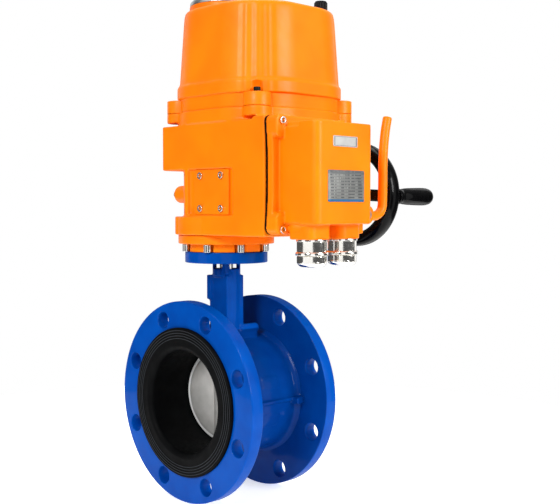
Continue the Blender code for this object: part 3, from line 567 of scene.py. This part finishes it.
def matte_black(name="black_nylon"):
    """Moulded nylon or black-oxide steel: dark, dull and very slightly grainy."""
    paint, tree, shader, place = begin(name, Specular_IOR_Level=0.15)
    tree.links.new(
        between(tree, speckle(tree, place, 6.0), "#050506", "#0E0E0F"),
        shader.inputs["Base Color"],
    )
    tree.links.new(
        between(tree, speckle(tree, place, 2.0), 0.38, 0.55), shader.inputs["Roughness"]
    )
    bumped(tree, shader, speckle(tree, place, 0.8), 0.03, 0.6)
    return paint


def turned_bronze():
    """Bearing bronze: brown-gold, with bright tool lines round it."""
    paint, tree, shader, place = begin("turned_bronze", Metallic=1.0)
    tree.links.new(
        between(tree, speckle(tree, place, 8.0), "#9C7340", "#B98C52"),
        shader.inputs["Base Color"],
    )
    tree.links.new(
        between(tree, speckle(tree, place, 0.6), 0.25, 0.42), shader.inputs["Roughness"]
    )
    return paint


def clear_acrylic():
    """Moulded clear dome: glassy, with a faint smoky tint."""
    paint, tree, shader, place = begin(
        "clear_acrylic", Transmission_Weight=0.9, IOR=1.49
    )
    tree.links.new(
        between(tree, speckle(tree, place, 15.0), "#E6ECEE", "#F4F7F8"),
        shader.inputs["Base Color"],
    )
    tree.links.new(
        between(tree, speckle(tree, place, 9.0), 0.03, 0.07), shader.inputs["Roughness"]
    )
    return paint


def solder_mask():
    """Circuit board: green lacquer over copper lines 2 mm apart."""
    paint, tree, shader, place = begin("solder_mask", Coat_Weight=0.3)
    lines = add(
        tree, "TexWave", {"Vector": place, "Scale": 0.16, "Distortion": 2.0}
    ).outputs["Fac"]
    tree.links.new(
        between(tree, lines, "#145430", "#2A7D4A", 0.45, 0.55),
        shader.inputs["Base Color"],
    )
    tree.links.new(between(tree, lines, 0.30, 0.42), shader.inputs["Roughness"])
    return paint


def printed_foil():
    """Aluminium foil nameplate: a blank ruled form, with grey bars for its rows and a blue foot."""
    paint, tree, shader, place = begin("printed_foil", Metallic=0.35)
    axes = add(tree, "SeparateXYZ", {0: place}).outputs
    x, z = axes["X"], axes["Z"]
    row = math_of(tree, "FRACT", math_of(tree, "DIVIDE", math_of(tree, "SUBTRACT", z, 245.6), 3.55))
    rule = step_of(tree, row, 0.12, False)
    word = speckle(tree, place, 1.3, 1.0, (0.35, 1, 0.02))
    bar = math_of(tree, "MULTIPLY", step_of(tree, word, 0.50), step_of(tree, row, 0.36))
    bar = math_of(tree, "MULTIPLY", bar, step_of(tree, row, 0.80, False))
    inner = step_of(tree, math_of(tree, "ABSOLUTE", x), 27.0, False)
    ink = math_of(tree, "MULTIPLY", math_of(tree, "MAXIMUM", rule, bar), inner)
    grey = between(tree, speckle(tree, place, 9.0), "#7A7B79", "#8A8B88")
    tone = mixed(tree, math_of(tree, "MULTIPLY", ink, 0.75), grey, "#3A3C3E")
    head = step_of(tree, z, 273.6)
    tone = mixed(tree, math_of(tree, "MULTIPLY", head, 0.6), tone, "#5A5C5E")
    tone = mixed(tree, step_of(tree, z, 245.4, False), tone, "#2A6A98")
    tree.links.new(tone, shader.inputs["Base Color"])
    tree.links.new(
        between(tree, speckle(tree, place, 4.0), 0.32, 0.46), shader.inputs["Roughness"]
    )
    return paint


def white_film():
    """Printed film: white, slightly yellowed in places, with a thin grey frame and no words."""
    paint, tree, shader, place = begin("white_film", Coat_Weight=0.2)
    axes = add(tree, "SeparateXYZ", {0: place}).outputs
    x = math_of(tree, "ABSOLUTE", math_of(tree, "ADD", axes["X"], 1.5))
    z = math_of(tree, "ABSOLUTE", math_of(tree, "SUBTRACT", axes["Z"], 309.5))
    edge = math_of(
        tree, "MAXIMUM", math_of(tree, "DIVIDE", x, 19.0), math_of(tree, "DIVIDE", z, 5.2)
    )
    line = math_of(
        tree, "MULTIPLY", step_of(tree, edge, 0.90), step_of(tree, edge, 0.98, False)
    )
    white = between(tree, speckle(tree, place, 8.0), "#AEAEAC", "#BABAB7")
    tree.links.new(mixed(tree, line, white, "#6A6C70"), shader.inputs["Base Color"])
    tree.links.new(
        between(tree, speckle(tree, place, 3.0), 0.36, 0.48), shader.inputs["Roughness"]
    )
    return paint


ORANGE = orange_powder_coat()
BLUE = blue_enamel()
RUBBER = moulded_rubber()
STAINLESS = satin_stainless("satin_stainless")
MACHINED = satin_stainless("machined_steel", "#8F8F8D", "#A9A9A6", (0.30, 0.46))
SCREW_STEEL = satin_stainless("bright_screw_steel", "#D4D2CE", "#E6E4E0", (0.10, 0.18), 3.0)
ANODISED = satin_stainless("satin_anodised_aluminium", "#A4A7AA", "#B8BABC", (0.28, 0.40), 0.7)
DISC_STEEL = cast_disc_steel()
NICKEL = bright_nickel()
PHENOLIC = black_phenolic()
NYLON = matte_black()
BLACK_STEEL = matte_black("black_oxide_steel")
BRONZE = turned_bronze()
ACRYLIC = clear_acrylic()
LAMINATE = solder_mask()
FOIL = printed_foil()
FILM = white_film()

FINISH = {
    "blue_paint": BLUE,
    "orange_paint": ORANGE,
    "liner_rubber": RUBBER,
    "stainless": STAINLESS,
    "machined_steel": MACHINED,
    "black_steel": BLACK_STEEL,
    "bronze": BRONZE,
    "nickel": NICKEL,
    "bezel_metal": ANODISED,
    "plate_metal": FOIL,
    "clear_window": ACRYLIC,
    "black_plastic": NYLON,
    "black_gloss": PHENOLIC,
    "white_plastic": FILM,
    "green_laminate": LAMINATE,
}
for name, node in NODES.items():
    node.data.materials.clear()
    node.data.materials.append(FINISH[SLOTS[name]])

# ---------------------------------------------------------------- valve


def flange(side):
    """A drilled ring with rounded rims. Each bolt hole is chamfered by a double cone."""
    outer = eased([(123, 0), (123, 17), (66.4, 17), (66.4, 0)], 1.6, True)
    low = 53.0 if side > 0 else -70.0
    plate = turned(outer, (low, 0, 0), "X", 192, True)
    solid = helper("flange", mesh_of("flange", plate))
    bit = eased(
        [
            *[(0, -2), (12.2, -2), (12.2, -0.9), (10.5, 0.8)],
            *[(10.5, 16.2), (12.2, 17.9), (12.2, 19), (0, 19)],
        ],
        0.05,
        count=2,
    )
    angles = TAU * (np.arange(8) + 0.5) / 8
    bits = [
        turned(bit, (low, 105 * math.cos(a), 105 * math.sin(a)), "X", 40) for a in angles
    ]
    tool = helper("bits", mesh_of("bits", together(*bits)))
    less = solid.modifiers.new("less", "BOOLEAN")
    less.operation, less.object = "DIFFERENCE", tool
    graph = bpy.context.evaluated_depsgraph_get()
    mesh = bpy.data.meshes.new_from_object(solid.evaluated_get(graph))
    bpy.data.objects.remove(solid)
    bpy.data.objects.remove(tool)
    return mesh


def bent_pad(along, half_x, angle, half_angle, height):
    """A blank raised pad: a flat slab whose second direction is wrapped round the barrel."""
    reach = 74.0
    points, quads = slab(
        rounded(half_x, half_angle * reach, 3.0), reach - 3, reach + height, 0.5
    )
    turn = angle + points[:, 1] / reach
    x = points[:, 0] + along
    radius = points[:, 2]
    return np.stack([x, radius * np.cos(turn), radius * np.sin(turn)], 1), quads


def barrel_and_neck():
    """Barrel with its hollow corners to the flanges, the ribbed neck, and small cast lugs."""
    t = np.linspace(0, TAU / 4, 9)
    fillet = 9.0
    corner = np.stack(
        [74 + fillet * (1 - np.cos(t)), 53.4 - fillet * (1 - np.sin(t))], 1
    )
    half = np.vstack([[(66.4, 53.4), (84.5, 53.4)], corner[::-1]])
    other = half[::-1] * (1, -1)
    barrel = turned(np.vstack([half, other]), axis="X", steps=160, ring=True)
    adds = [
        barrel,
        drum(17.5, 68, 170, steps=72),
        block((-14.1, -16.4, 67), (14.1, 16.4, 152)),
        block((-16, 9, 121), (-9, 20.5, 152)),
        drum(5.8, 8, 38, (0, -14, 84), "X", steps=36),
        drum(5.8, -38, -8, (0, -14, 84), "X", steps=36),
        block((-36, -18.6, 70), (36, -9.6, 84)),
        drum(21, -92, -66, steps=72),
        block((-52, -77.2, -2.4), (52, -69, 1.6)),
        block((41, -85.5, -6.5), (53.8, -70, 2.2)),
        block((-53.8, -85.5, -6.5), (-41, -70, 2.2)),
        block((-52, 69, -1.5), (52, 75.8, 1.6)),
        bent_pad(9.0, 13.5, math.radians(162.5), math.radians(6.2), 0.6),
        bent_pad(9.0, 13.5, math.radians(198.5), math.radians(6.2), 0.9),
    ]
    cuts = [
        block((14.3, -11.5, 92), (26, 11.5, 151)),
        block((-26, -11.5, 92), (-14.3, 11.5, 151)),
        block((-32, -8, 160.4), (32, 8, 166.6)),
        block((-8, -32, 160.4), (8, 32, 166.6)),
        drum(12.3, -110, 190, steps=48),
    ]
    return casting("valve_casting", adds, cuts, 1.15, 4, 0.9)


def mounting_disc():
    """Round top plate of the neck, turned on its rim."""
    rim = [(12.6, 181.9), (51.7, 181.9), (51.7, 168.4), (12.6, 168.4)]
    return turned(eased(rim, 1.2, True), steps=160, ring=True)


def liner():
    """Rubber sleeve: fine raised rings on both faces, and a full radius into the bore."""
    radius = np.linspace(90.4, 69.5, 130)
    face = 73.3 + 0 * radius
    for middle in LINER_RINGS:
        face += 0.7 * np.exp(-(((radius - middle) / 0.55) ** 2))
    t = np.linspace(0, TAU / 4, 14)
    lip = np.stack([69.5 - 7.0 * np.sin(t), 73.3 - 7.0 * (1 - np.cos(t))], 1)
    rim = [(66.2, 67.3), (90.6, 67.3), (91.0, 68.2), (91.0, 72.6)]
    half = np.vstack([rim, np.stack([radius, face], 1), lip[1:]])
    profile = np.vstack([half, (half * (1, -1))[::-1]])
    return turned(profile, axis="X", steps=180, ring=True)


def disc():
    """Closing disc: half of it is a plate that thins at the rim, blended with the hub."""
    t = np.linspace(0, 1, 64)
    reach = 61.2 * np.sin(t * TAU / 4)
    angle = np.linspace(0, TAU, 256, endpoint=False)[:, None]
    y, z = reach * np.cos(angle), reach * np.sin(angle)
    plate = 5.5 - 3.3 * np.clip((reach - 54.5) / 6.7, 0, 1) ** 1.4 + 0 * y
    hub = np.sqrt(np.maximum(15.2**2 - y**2, 0)) * np.clip((58.0 - np.abs(z)) / 3.5, 0, 1)
    blend = 2.5
    thick = np.logaddexp(plate / blend, hub / blend) * blend
    thick = np.where(hub > 0.5, thick, np.logaddexp(plate / blend, 0) * blend)
    thick = np.minimum(thick, plate + np.maximum(hub - plate, 0) + 1.0)
    front = np.stack([thick, y, z], -1)
    back = front[:, ::-1] * (-1, 1, 1)
    return spun(grid(np.concatenate([front, back], 1)), REST_TURN)


show("near_flange", flange(-1), BLUE, ["valve_body"], 30)
show("far_flange", flange(1), BLUE, ["valve_body"], 30)
show("barrel_and_neck", barrel_and_neck(), BLUE, ["valve_body"], 0)
show("mounting_disc", mounting_disc(), BLUE, ["valve_body"])
show("rubber_liner", liner(), RUBBER, ["seat_liner"], 60)
show("closing_disc", disc(), DISC_STEEL, ["disc"], 45)
tang = spun(block((-6.25, -6.25, 182), (6.25, 6.25, 200.5)), REST_TURN)
show("turned_stem", together(drum(8.7, -83, 183.5), tang), SCREW_STEEL, ["stem"])

# ---------------------------------------------------------------- actuator


def base_ring():
    """Adapter plate and the lobed boss under it. Each lobe ends where a screw head stands."""
    boss, notch = 50.0, 7.3
    angle = np.linspace(0, TAU, 720, endpoint=False)
    to_screw = (angle % (TAU / 8)) - TAU / 16
    inside = notch**2 - (BASE_CIRCLE * np.sin(to_screw)) ** 2
    near = BASE_CIRCLE * np.cos(to_screw) - np.sqrt(np.maximum(inside, 0))
    reach = np.where(inside > 0, np.minimum(boss, near), boss)
    outline = np.stack([reach * np.cos(angle), reach * np.sin(angle)], 1)
    return together(slab(outline, 182.2, 192.4, 0.5), drum(60, 192, 202.9, edge=1.2, steps=160))


def base_screws():
    """Eight socket screws that hold the actuator down on the valve."""
    angles = TAU * (np.arange(8) + 0.5) / 8
    head = eased([(0, 182.3), (4.8, 182.3), (4.8, 191.6), (0, 191.6)], 0.5)
    middles = [(BASE_CIRCLE * math.cos(a), BASE_CIRCLE * math.sin(a), 0) for a in angles]
    return together(*[turned(head, middle, steps=32) for middle in middles])


def corners(reach):
    """The four points that stand diagonally round the middle of the bell."""
    return [(COVER_X + sx * reach, COVER_Y + sy * reach) for sx in (-1, 1) for sy in (-1, 1)]


def lug_reach(angle):
    """Reach of the corner lugs that take the cover screws, along an angle, 0 between them."""
    return circle_reach(angle % (TAU / 4), LUG_REACH * math.sqrt(2), TAU / 8, 16.0)


def blended(first, second, width=1.8):
    """The greater of two reaches, with a soft hollow where they meet: a smooth maximum."""
    high = np.maximum(first, second)
    gap = np.abs(first - second)
    return high + width * np.log1p(np.exp(-gap / width)) * np.clip(second / 90.0, 0, 1)


def rim_outline(half, corner):
    """Outline of the housing's top flange: a rounded square with four blended lugs."""
    angle = np.linspace(0, TAU, 720, endpoint=False)
    reach = blended(square_reach(angle, half, corner), lug_reach(angle))
    return np.stack([COVER_X + reach * np.cos(angle), COVER_Y + reach * np.sin(angle)], 1)


def housing():
    """Cast gear housing: a wide block on a round wheel chamber, with a pad and a shaft neck."""
    middle = (COVER_X, COVER_Y)
    adds = [
        block((-60, -131, 282.3), (112, 52.6, 336.7)),
        block((-60, -130.9, 204.5), (111.7, 9.7, 290)),
        block((-60, -130.8, 203.2), (105, 27, 225.5)),
        drum(64, 203.2, 225.5, edge=0.4, steps=160),
        drum(53, 215, 290, edge=0.4, steps=160),
        block((-60, -131.2, 205.5), (60, -112, 339.5)),
        drum(24, 108, 150, (0, WORM_Y, WORM_Z), "X", steps=80),
        drum(17, 147, 187, (0, WORM_Y, WORM_Z), "X", steps=80),
        drum(11, 30, 57.6, (-28, 0, 253.4), "Y", 3.0, 48),
        slab(rounded(91.0, 91.0, 67.4, middle, 20), 337.4, 345, 0.2, middle),
        slab(rounded(84.0, 84.0, 62.0, middle, 20), 330, 345, 0.4, middle),
        slab(rim_outline(91.0, 67.4), 341, 353, 0.2, middle),
    ]
    cuts = [block((-70, -77.2, 227.5), (-55.6, 3.0, 282.3), 0.2)]
    return casting("gear_casting", adds, cuts, 1.35, 4)


def cover():
    """Bell: a rounded square of changing half width, with lugs below and flutes cut in."""
    angle = np.linspace(0, TAU, 720, endpoint=False)[:, None]
    outside = eased(
        [
            (78.0, 354.5),
            (87.8, 354.5),
            (87.8, 353.06),
            (89.0, 353.06),
            (89.0, 368.5),
            (92.2, 369.6),
            (92.2, 383.0),
            (89.4, 386.5),
            (84.2, 468.0),
            (82.6, 475.5),
            (76.0, 478.0),
            (0.001, 478.0),
        ],
        [0, 0.1, 0.1, 0.25, 0.6, 1.0, 2.2, 3.0, 8.0, 4.0, 6.0, 0],
        count=7,
    )
    inside = eased([(0.001, 472.0), (76.0, 472.0), (81.0, 372.0), (78.0, 354.5)], 4.0)
    half, z = np.vstack([outside, inside]).T
    reach = square_reach(angle, half, 0.74 * half)
    diagonal = np.abs((angle % (TAU / 4)) - TAU / 8)
    across = diagonal * 96.0
    outer = (np.arange(len(z)) < len(outside))[None, :]
    lug = lug_reach(angle)
    low = outer & (z[None, :] < 368.6) & (z[None, :] > 353.0) & (half[None, :] > 88)
    round_top = np.clip((z[None, :] - 367.7) / 0.8, 0, 1) ** 2 * 0.8
    reach = np.where(low, blended(reach, lug - round_top), reach)
    wall = outer & (z[None, :] > 368.6) & (half[None, :] > 60)
    pocket = 5.5 * np.clip((7.4 - across) / 3.0, 0, 1) * np.clip((383.0 - z[None, :]) / 6.0, 0, 1)
    fade = np.clip((23.0 - across) / 8.0, 0, 1) * np.clip((474.0 - z[None, :]) / 6.0, 0, 1)
    grooves = 0.55 * (1 - np.cos(TAU * across / 13.0)) * fade
    reach = reach - np.where(wall, np.maximum(pocket, grooves), 0)
    points = np.stack(
        [COVER_X + reach * np.cos(angle), COVER_Y + reach * np.sin(angle), z + 0 * angle], -1
    )
    seat = eased([(0, 474), (44.8, 474), (44.8, 484.4), (0, 484.4)], [0, 0, 1.0, 0])
    return together(grid(points, ring=True), turned(seat, steps=160))


def indicator_bezel():
    """Bevelled metal ring that clamps the dome."""
    outer = [(44.4, 484.7), (44.0, 489.0), (40.5, 492.1)]
    line = [*outer, (36.5, 492.1), (35.3, 490.8), (35.3, 484.7)]
    return turned(eased(line, 0.8, True), steps=160, ring=True)


def indicator_dome():
    """Thin clear dome, thicker at its foot."""
    t = np.linspace(TAU / 4, 0, 24)
    outer = np.stack([34.9 * np.cos(t), 486.7 + 13.4 * np.sin(t)], 1)
    inner = np.stack([32.6 * np.cos(t), 486.7 + 11.5 * np.sin(t)], 1)
    return turned(np.vstack([outer, [(34.9, 484.8), (32.6, 484.8)], inner[::-1]]), steps=96)


def ribbed_cap():
    """Small breather cap. Its radius dips between 20 finger ribs."""
    angle = np.linspace(0, TAU, 160, endpoint=False)[:, None]
    line = [(0, -11), (4.0, -11), (4.0, 0.0), (8.3, 0), (8.3, 11.6), (6.8, 13.9), (0, 13.9)]
    line = eased(line, 0.6)
    radius, z = line.T
    ribs = 0.45 * np.cos(20 * angle) * np.clip((radius - 7.0) / 1.0, 0, 1)
    radius = radius + ribs - 0.4 * (radius > 7.0)
    points = np.stack([radius * np.cos(angle), radius * np.sin(angle), z + 0 * angle], -1)
    return stand(grid(points), (82, -85, 478.4))


show("base_plate_and_boss", base_ring(), ORANGE, ["base_plate"])
screws = helper("base_screws", mesh_of("base_screws", base_screws()))
screws.data.materials.append(SCREW_STEEL)
screws.data.shade_smooth()
screws.data.set_sharp_from_angle(angle=math.radians(40))
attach(screws, "valve")
show("cast_gear_housing", housing(), ORANGE, ["gear_housing"], 0)
show("bell_cover", cover(), ORANGE, ["top_cover"], 42)
show("bezel_ring", indicator_bezel(), ANODISED, ["indicator_bezel"])
show("clear_dome", indicator_dome(), ACRYLIC, ["indicator_window"], 60)
show("ribbed_cap", ribbed_cap(), NYLON, ["breather_cap"])
plate = slab(rounded(26.9, 31.0, 2.5, (-254.9, -39.0)), -58.5, -55.3, 0.7, (-254.9, -39.0))
show("recessed_plate", stand(plate, axis="X"), ORANGE, ["bearing_plate"])
for i, y in enumerate((-20.3, -57.7)):
    for j, z in enumerate((235.5, 274.6)):
        number = 2 * i + j + 1
        head = screw((-58.6, y, z), "X", 4.1, 2.8, 2.2)
        show(f"socket_screw_{number}", head, SCREW_STEEL, [f"plate_screw_{number}"])
head = screw((-28, 57.9, 253.4), "Y", 4.4, 7.0, 2.2, 1, 22)
show("stop_set_screw", head, BLACK_STEEL, ["stop_screw"])
proud, flush = 5.4, 0.6
for i, (x, y) in enumerate(corners(SCREW_REACH)):
    head = screw((x, y, 368.8), "Z", 4.0, proud if i == 0 else flush, 1.9, 1, 20)
    show(f"cap_screw_{i + 1}", head, BLACK_STEEL, [f"cover_screw_{i + 1}"])

# ---------------------------------------------------------------- terminal box


def waisted(half_x, half_z, corner, deep):
    """The flange outline: a rounded rectangle, drawn in by `deep` between its corner bosses."""
    line = rounded(half_x, half_z, corner, count=12)
    along = np.linspace(0, 1, 6, endpoint=False)[:, None, None]
    line = (line * (1 - along) + np.roll(line, -1, 0) * along).transpose(1, 0, 2).reshape(-1, 2)
    middle = 1 / (1 + np.exp((np.abs(line[:, 1]) - 42.0) / 4.0))
    line[:, 0] -= deep * middle * np.sign(line[:, 0]) * (np.abs(line[:, 0]) > 0.9 * half_x)
    return line


def terminal_box():
    """Cast wiring cover: a flanged box with screw pockets and two threaded conduit bosses."""
    adds = [
        stand(slab(waisted(60, 67, 8, 2.8), -142.4, -134.0, 0.5), (0, 0, PAD_Z), "Y"),
        slab(rounded(47.5, 31.0, 8.5, (0, -169)), 218, 331, 1.0, (0, -169)),
    ]
    for x in (-49.8, 49.8):
        for z in (218.7, 327.1):
            pillar = slab(rounded(10.0, 12.5, 7.5), BOSS_FRONT, -134.5, 0.8)
            adds.append(stand(pillar, (x, 0, z), "Y"))
    for x, _ in GLANDS:
        boss = rounded(18, 18.5, 9, (x, -168.5), 12)
        adds.append(slab(boss, 200.8, 222, 1.0, (x, -168.5)))
    cuts = [drum(8.5, -172.4, -150.85, (x, 0, z), "Y", 0.1, 48) for x, z in BOX_SCREWS]
    return casting("terminal_casting", adds, cuts, 1.05, 3)


def wavy_gasket():
    """Sheet gasket squeezed between the faces. Its edge stands out a little and wanders."""
    outline = waisted(60.1, 67.1, 8.2, 2.6)
    turn = np.arctan2(outline[:, 1], outline[:, 0])
    wander = 1 + 0.0035 * np.sin(7 * turn + 0.6) + 0.0025 * np.sin(13 * turn)
    return stand(slab(outline * wander[:, None], -133.8, -131.5, 0.7), (0, 0, PAD_Z), "Y")


def gland(at):
    """Plated cable gland: thread collar, hexagon and the washer face under it."""
    washer = [(0, 183.1), (18.4, 183.1), (18.4, 186.0), (17.4, 187.0), (0, 187.0)]
    return together(
        hexagon(at, 186.4, 199.2, 16.3, 0.0, 0.5),
        drum(17.6, 198.6, 201.0, (*at, 0), edge=0.5, steps=72),
        turned(eased(washer, 0.7), (*at, 0), steps=72),
    )


def gland_nut(at):
    """Clamping nut: a hexagon that runs into a dome, open in the middle for the cable."""
    outer = [(6.6, 183), (13, 183), (16.6, 176), (16.2, 173.5), (13.2, 170.5)]
    line = eased([*outer, (8.0, 170.0), (6.6, 170.6)], [0.4, 1, 1, 2, 2.5, 1.0, 0.4], True)
    dome = turned(line, (*at, 0), steps=72, ring=True)
    return together(hexagon(at, 174.0, 182.7, 16.3, 7.0, 0.5), dome)


show("terminal_casting", terminal_box(), ORANGE, ["terminal_cover"], 0)
show("box_gasket", wavy_gasket(), RUBBER, ["terminal_gasket"], 60)
for i, (x, z) in enumerate(BOX_SCREWS, 1):
    head = screw((x, -151.1, z), "Y", 4.4, 2.6, 2.2, -1, 16)
    show(f"pan_screw_{i}", head, SCREW_STEEL, [f"terminal_screw_{i}"])
for i, at in enumerate(GLANDS):
    show(f"gland_body_{i + 1}", gland(at), NICKEL, [f"cable_gland_{i + 1}"], 25)
    show(f"gland_cap_{i + 1}", gland_nut(at), NICKEL, [f"gland_nut_{i + 1}"], 25)
    seal = pipe(9.4, 6.7, 171.2, 182, (*at, 0), edge=0.6, steps=48)
    ring = helper(f"gland_seal_{i + 1}", mesh_of(f"gland_seal_{i + 1}", seal))
    ring.data.materials.append(RUBBER)
    ring.data.shade_smooth()
    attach(ring, "valve")
sunk, middle = BOX_FRONT + 0.2, (0.1, -260.3)
plate = slab(rounded(29.9, 17.5, 1.5, middle), BOX_FRONT - 0.85, sunk, 0.2, middle)
show("ruled_nameplate", stand(plate, axis="Y"), FOIL, ["nameplate"])
middle = (-1.5, -309.5)
plate = slab(rounded(20.0, 5.9, 1.0, middle), BOX_FRONT - 0.75, sunk, 0.15, middle)
show("blank_label", stand(plate, axis="Y"), FILM, ["rating_label"])

# ---------------------------------------------------------------- hand controls


def wheel():
    """Rim whose section is a boxy round: a power-3 superellipse. Hub and spokes melt into it."""
    t = np.linspace(0, TAU, 48, endpoint=False)
    power = 2 / 2.7
    across = 61.5 + 9.5 * np.sign(np.cos(t)) * np.abs(np.cos(t)) ** power
    along = 11.5 * np.sign(np.sin(t)) * np.abs(np.sin(t)) ** power
    middle = (WHEEL_X, WORM_Y, WORM_Z)
    rim = turned(np.stack([across, along], 1), middle, "X", 160, True)
    low = (WHEEL_X - 5, WORM_Y - 60, WORM_Z - 8)
    high = (WHEEL_X + 5, WORM_Y - 4, WORM_Z + 8)
    spokes = [
        spun(block(low, high, 2.0), math.radians(3) + TAU * i / 3, "X", middle) for i in range(3)
    ]
    hub = drum(17, -13, 10, middle, "X", 2.0, 72)
    boss = drum(9.5, -6, 11.4, (WHEEL_X, GRIP_Y, GRIP_Z), "X", 1.0, 48)
    return casting("wheel_moulding", [rim, hub, boss, *spokes], (), 1.1, 5)


def grip():
    """Turning handle: a collar, a waist and a swelling body with a full round end."""
    collar = [(3.5, 0), (10.4, 0), (10.5, 5.0), (9.6, 8.5)]
    body = [(11.2, 20), (12.0, 45), (12.1, 62), (10.5, 70.5), (6.5, 73), (3.5, 73)]
    ease = [0.3, 1.0, 1.5, 3.0, 6, 10, 6, 5, 1.5, 0.5]
    line = eased([*collar, *body], ease, True, 7)
    return turned(line, (WHEEL_X + 11.9, GRIP_Y, GRIP_Z), "X", 72, True)


def lever():
    """Bent round bar in a plane, with the hub that clamps on its shaft."""
    x, y, z = CLUTCH
    line = [
        (x + 6, y, z - 0.8),
        (x + 14, y, z - 1.6),
        (x + 22.5, y, z - 0.9),
        (x + 30.5, y, z + 3.6),
        (x + 34.2, y, z + 12),
        (x + 35.0, y, z + 34),
        (x + 35.2, y, z + 60),
        (x + 35.8, y, z + 72),
        (x + 37.2, y, z + 88),
        (x + 39.8, y, z + 104),
        (x + 44.0, y, z + 121.5),
    ]
    bar = swept(flowing(line), 5.7)
    hub = pipe(11.5, 6.3, -156.2, -143.4, (x, 0, z), "Y", 1.2, 64)
    return together(bar, hub)


show("moulded_handwheel", wheel(), PHENOLIC, ["handwheel"], 0)
show("turning_grip", grip(), PHENOLIC, ["wheel_grip"])
show("bent_lever", lever(), ORANGE, ["clutch_lever"])
nut = stand(spun(hexagon((0, 0), 10.4, 18.2, 8.6, 6.4), 0.3), (WHEEL_X, WORM_Y, WORM_Z), "X")
show("hub_lock_nut", nut, SCREW_STEEL, ["hub_nut"], 25)

# ---------------------------------------------------------------- stage, light and camera


def staged(name, shape, paint):
    """A piece of the set, which isn't part of the object."""
    made = helper(name, mesh_of(name, shape))
    made.data.materials.append(paint)
    return made


def lamp(name, at, aim, size, power, tint="#FFFFFF"):
    """A soft box: a square area light that faces a point."""
    light = bpy.data.lights.new(name, "AREA")
    light.shape, light.size, light.energy = "SQUARE", size, power
    light.color = colour(tint)[:3]
    made = bpy.data.objects.new(name, light)
    bpy.context.scene.collection.objects.link(made)
    made.location = at
    toward = Vector(aim) - Vector(at)
    made.rotation_euler = toward.to_track_quat("-Z", "Y").to_euler()
    return made


floor_paint, floor_tree, floor_shader, floor_place = begin(
    "pale_paper", Roughness=1.0, Specular_IOR_Level=0.0, Emission_Strength=0.62
)
floor_shader.inputs["Emission Color"].default_value = (1, 1, 1, 1)
floor_tree.links.new(
    between(floor_tree, speckle(floor_tree, floor_place, 400.0), "#F4F4F3", "#F7F7F6"),
    floor_shader.inputs["Base Color"],
)
angle = np.linspace(0, TAU, 64, endpoint=False)[:, None]
radius = np.array([0.0, 780.0])
disc_points = np.stack(
    [radius * np.cos(angle), radius * np.sin(angle), -123.6 + 0 * angle * radius], -1
)
floor = staged("floor", grid(disc_points), floor_paint)
if floor.data.polygons[0].normal.z < 0:
    floor.data.flip_normals()

lamp("key", (-2.0, -0.7, 1.3), (0, 0, 0.15), 0.8, 41)
lamp("fill", (0.5, -2.2, 0.9), (0, 0, 0.2), 1.0, 46)
lamp("top", (0.3, 0.3, 2.0), (0, 0, 0.1), 1.3, 24)

world = bpy.data.worlds.new("studio")
bpy.context.scene.world = world
world.use_nodes = True
sky = world.node_tree
background = sky.nodes["Background"]
spot = add(sky, "TexCoord").outputs["Generated"]
height = add(sky, "SeparateXYZ", {0: spot}).outputs["Z"]
around = add(sky, "SeparateXYZ", {0: spot}).outputs
turn = math_of(sky, "ARCTAN2", around["Y"], around["X"])
wave = math_of(sky, "SINE", math_of(sky, "ADD", math_of(sky, "MULTIPLY", turn, 5.0), BAND_TURN))
tall = math_of(sky, "LESS_THAN", math_of(sky, "ABSOLUTE", height), 0.62)
bands = math_of(sky, "MULTIPLY", step_of(sky, wave, 0.30), tall)
ray_kind = add(sky, "LightPath").outputs
bands = math_of(sky, "MULTIPLY", bands, ray_kind["Is Glossy Ray"])
base_glow = between(sky, height, 0.09, 0.38, 0.0, 0.8)
glow = math_of(sky, "ADD", base_glow, math_of(sky, "MULTIPLY", bands, BAND_LIGHT))
level = add(sky, "Mix", {"Factor": ray_kind["Is Camera Ray"]}, data_type="FLOAT")
sky.links.new(glow, level.inputs[2])
level.inputs[3].default_value = 1.0
sky.links.new(level.outputs[0], background.inputs["Strength"])
background.inputs["Color"].default_value = (1, 1, 1, 1)

SENSOR = 36.0
VIEW_DEPTH, VIEW_WIDTH = 972.52, 560  # at this depth the view is this wide, in the same unit
eye = bpy.data.cameras.new("camera")
eye.sensor_width = SENSOR
eye.lens = VIEW_DEPTH * SENSOR / VIEW_WIDTH
eye.clip_end = 50
camera = bpy.data.objects.new("camera", eye)
bpy.context.scene.collection.objects.link(camera)
camera.location = (-0.81238, -0.91737, 0.23461)
camera.rotation_euler = (math.radians(90 - 2.518), 0, math.radians(-44.681))
bpy.context.scene.camera = camera
bpy.context.scene.view_settings.view_transform = "Standard"
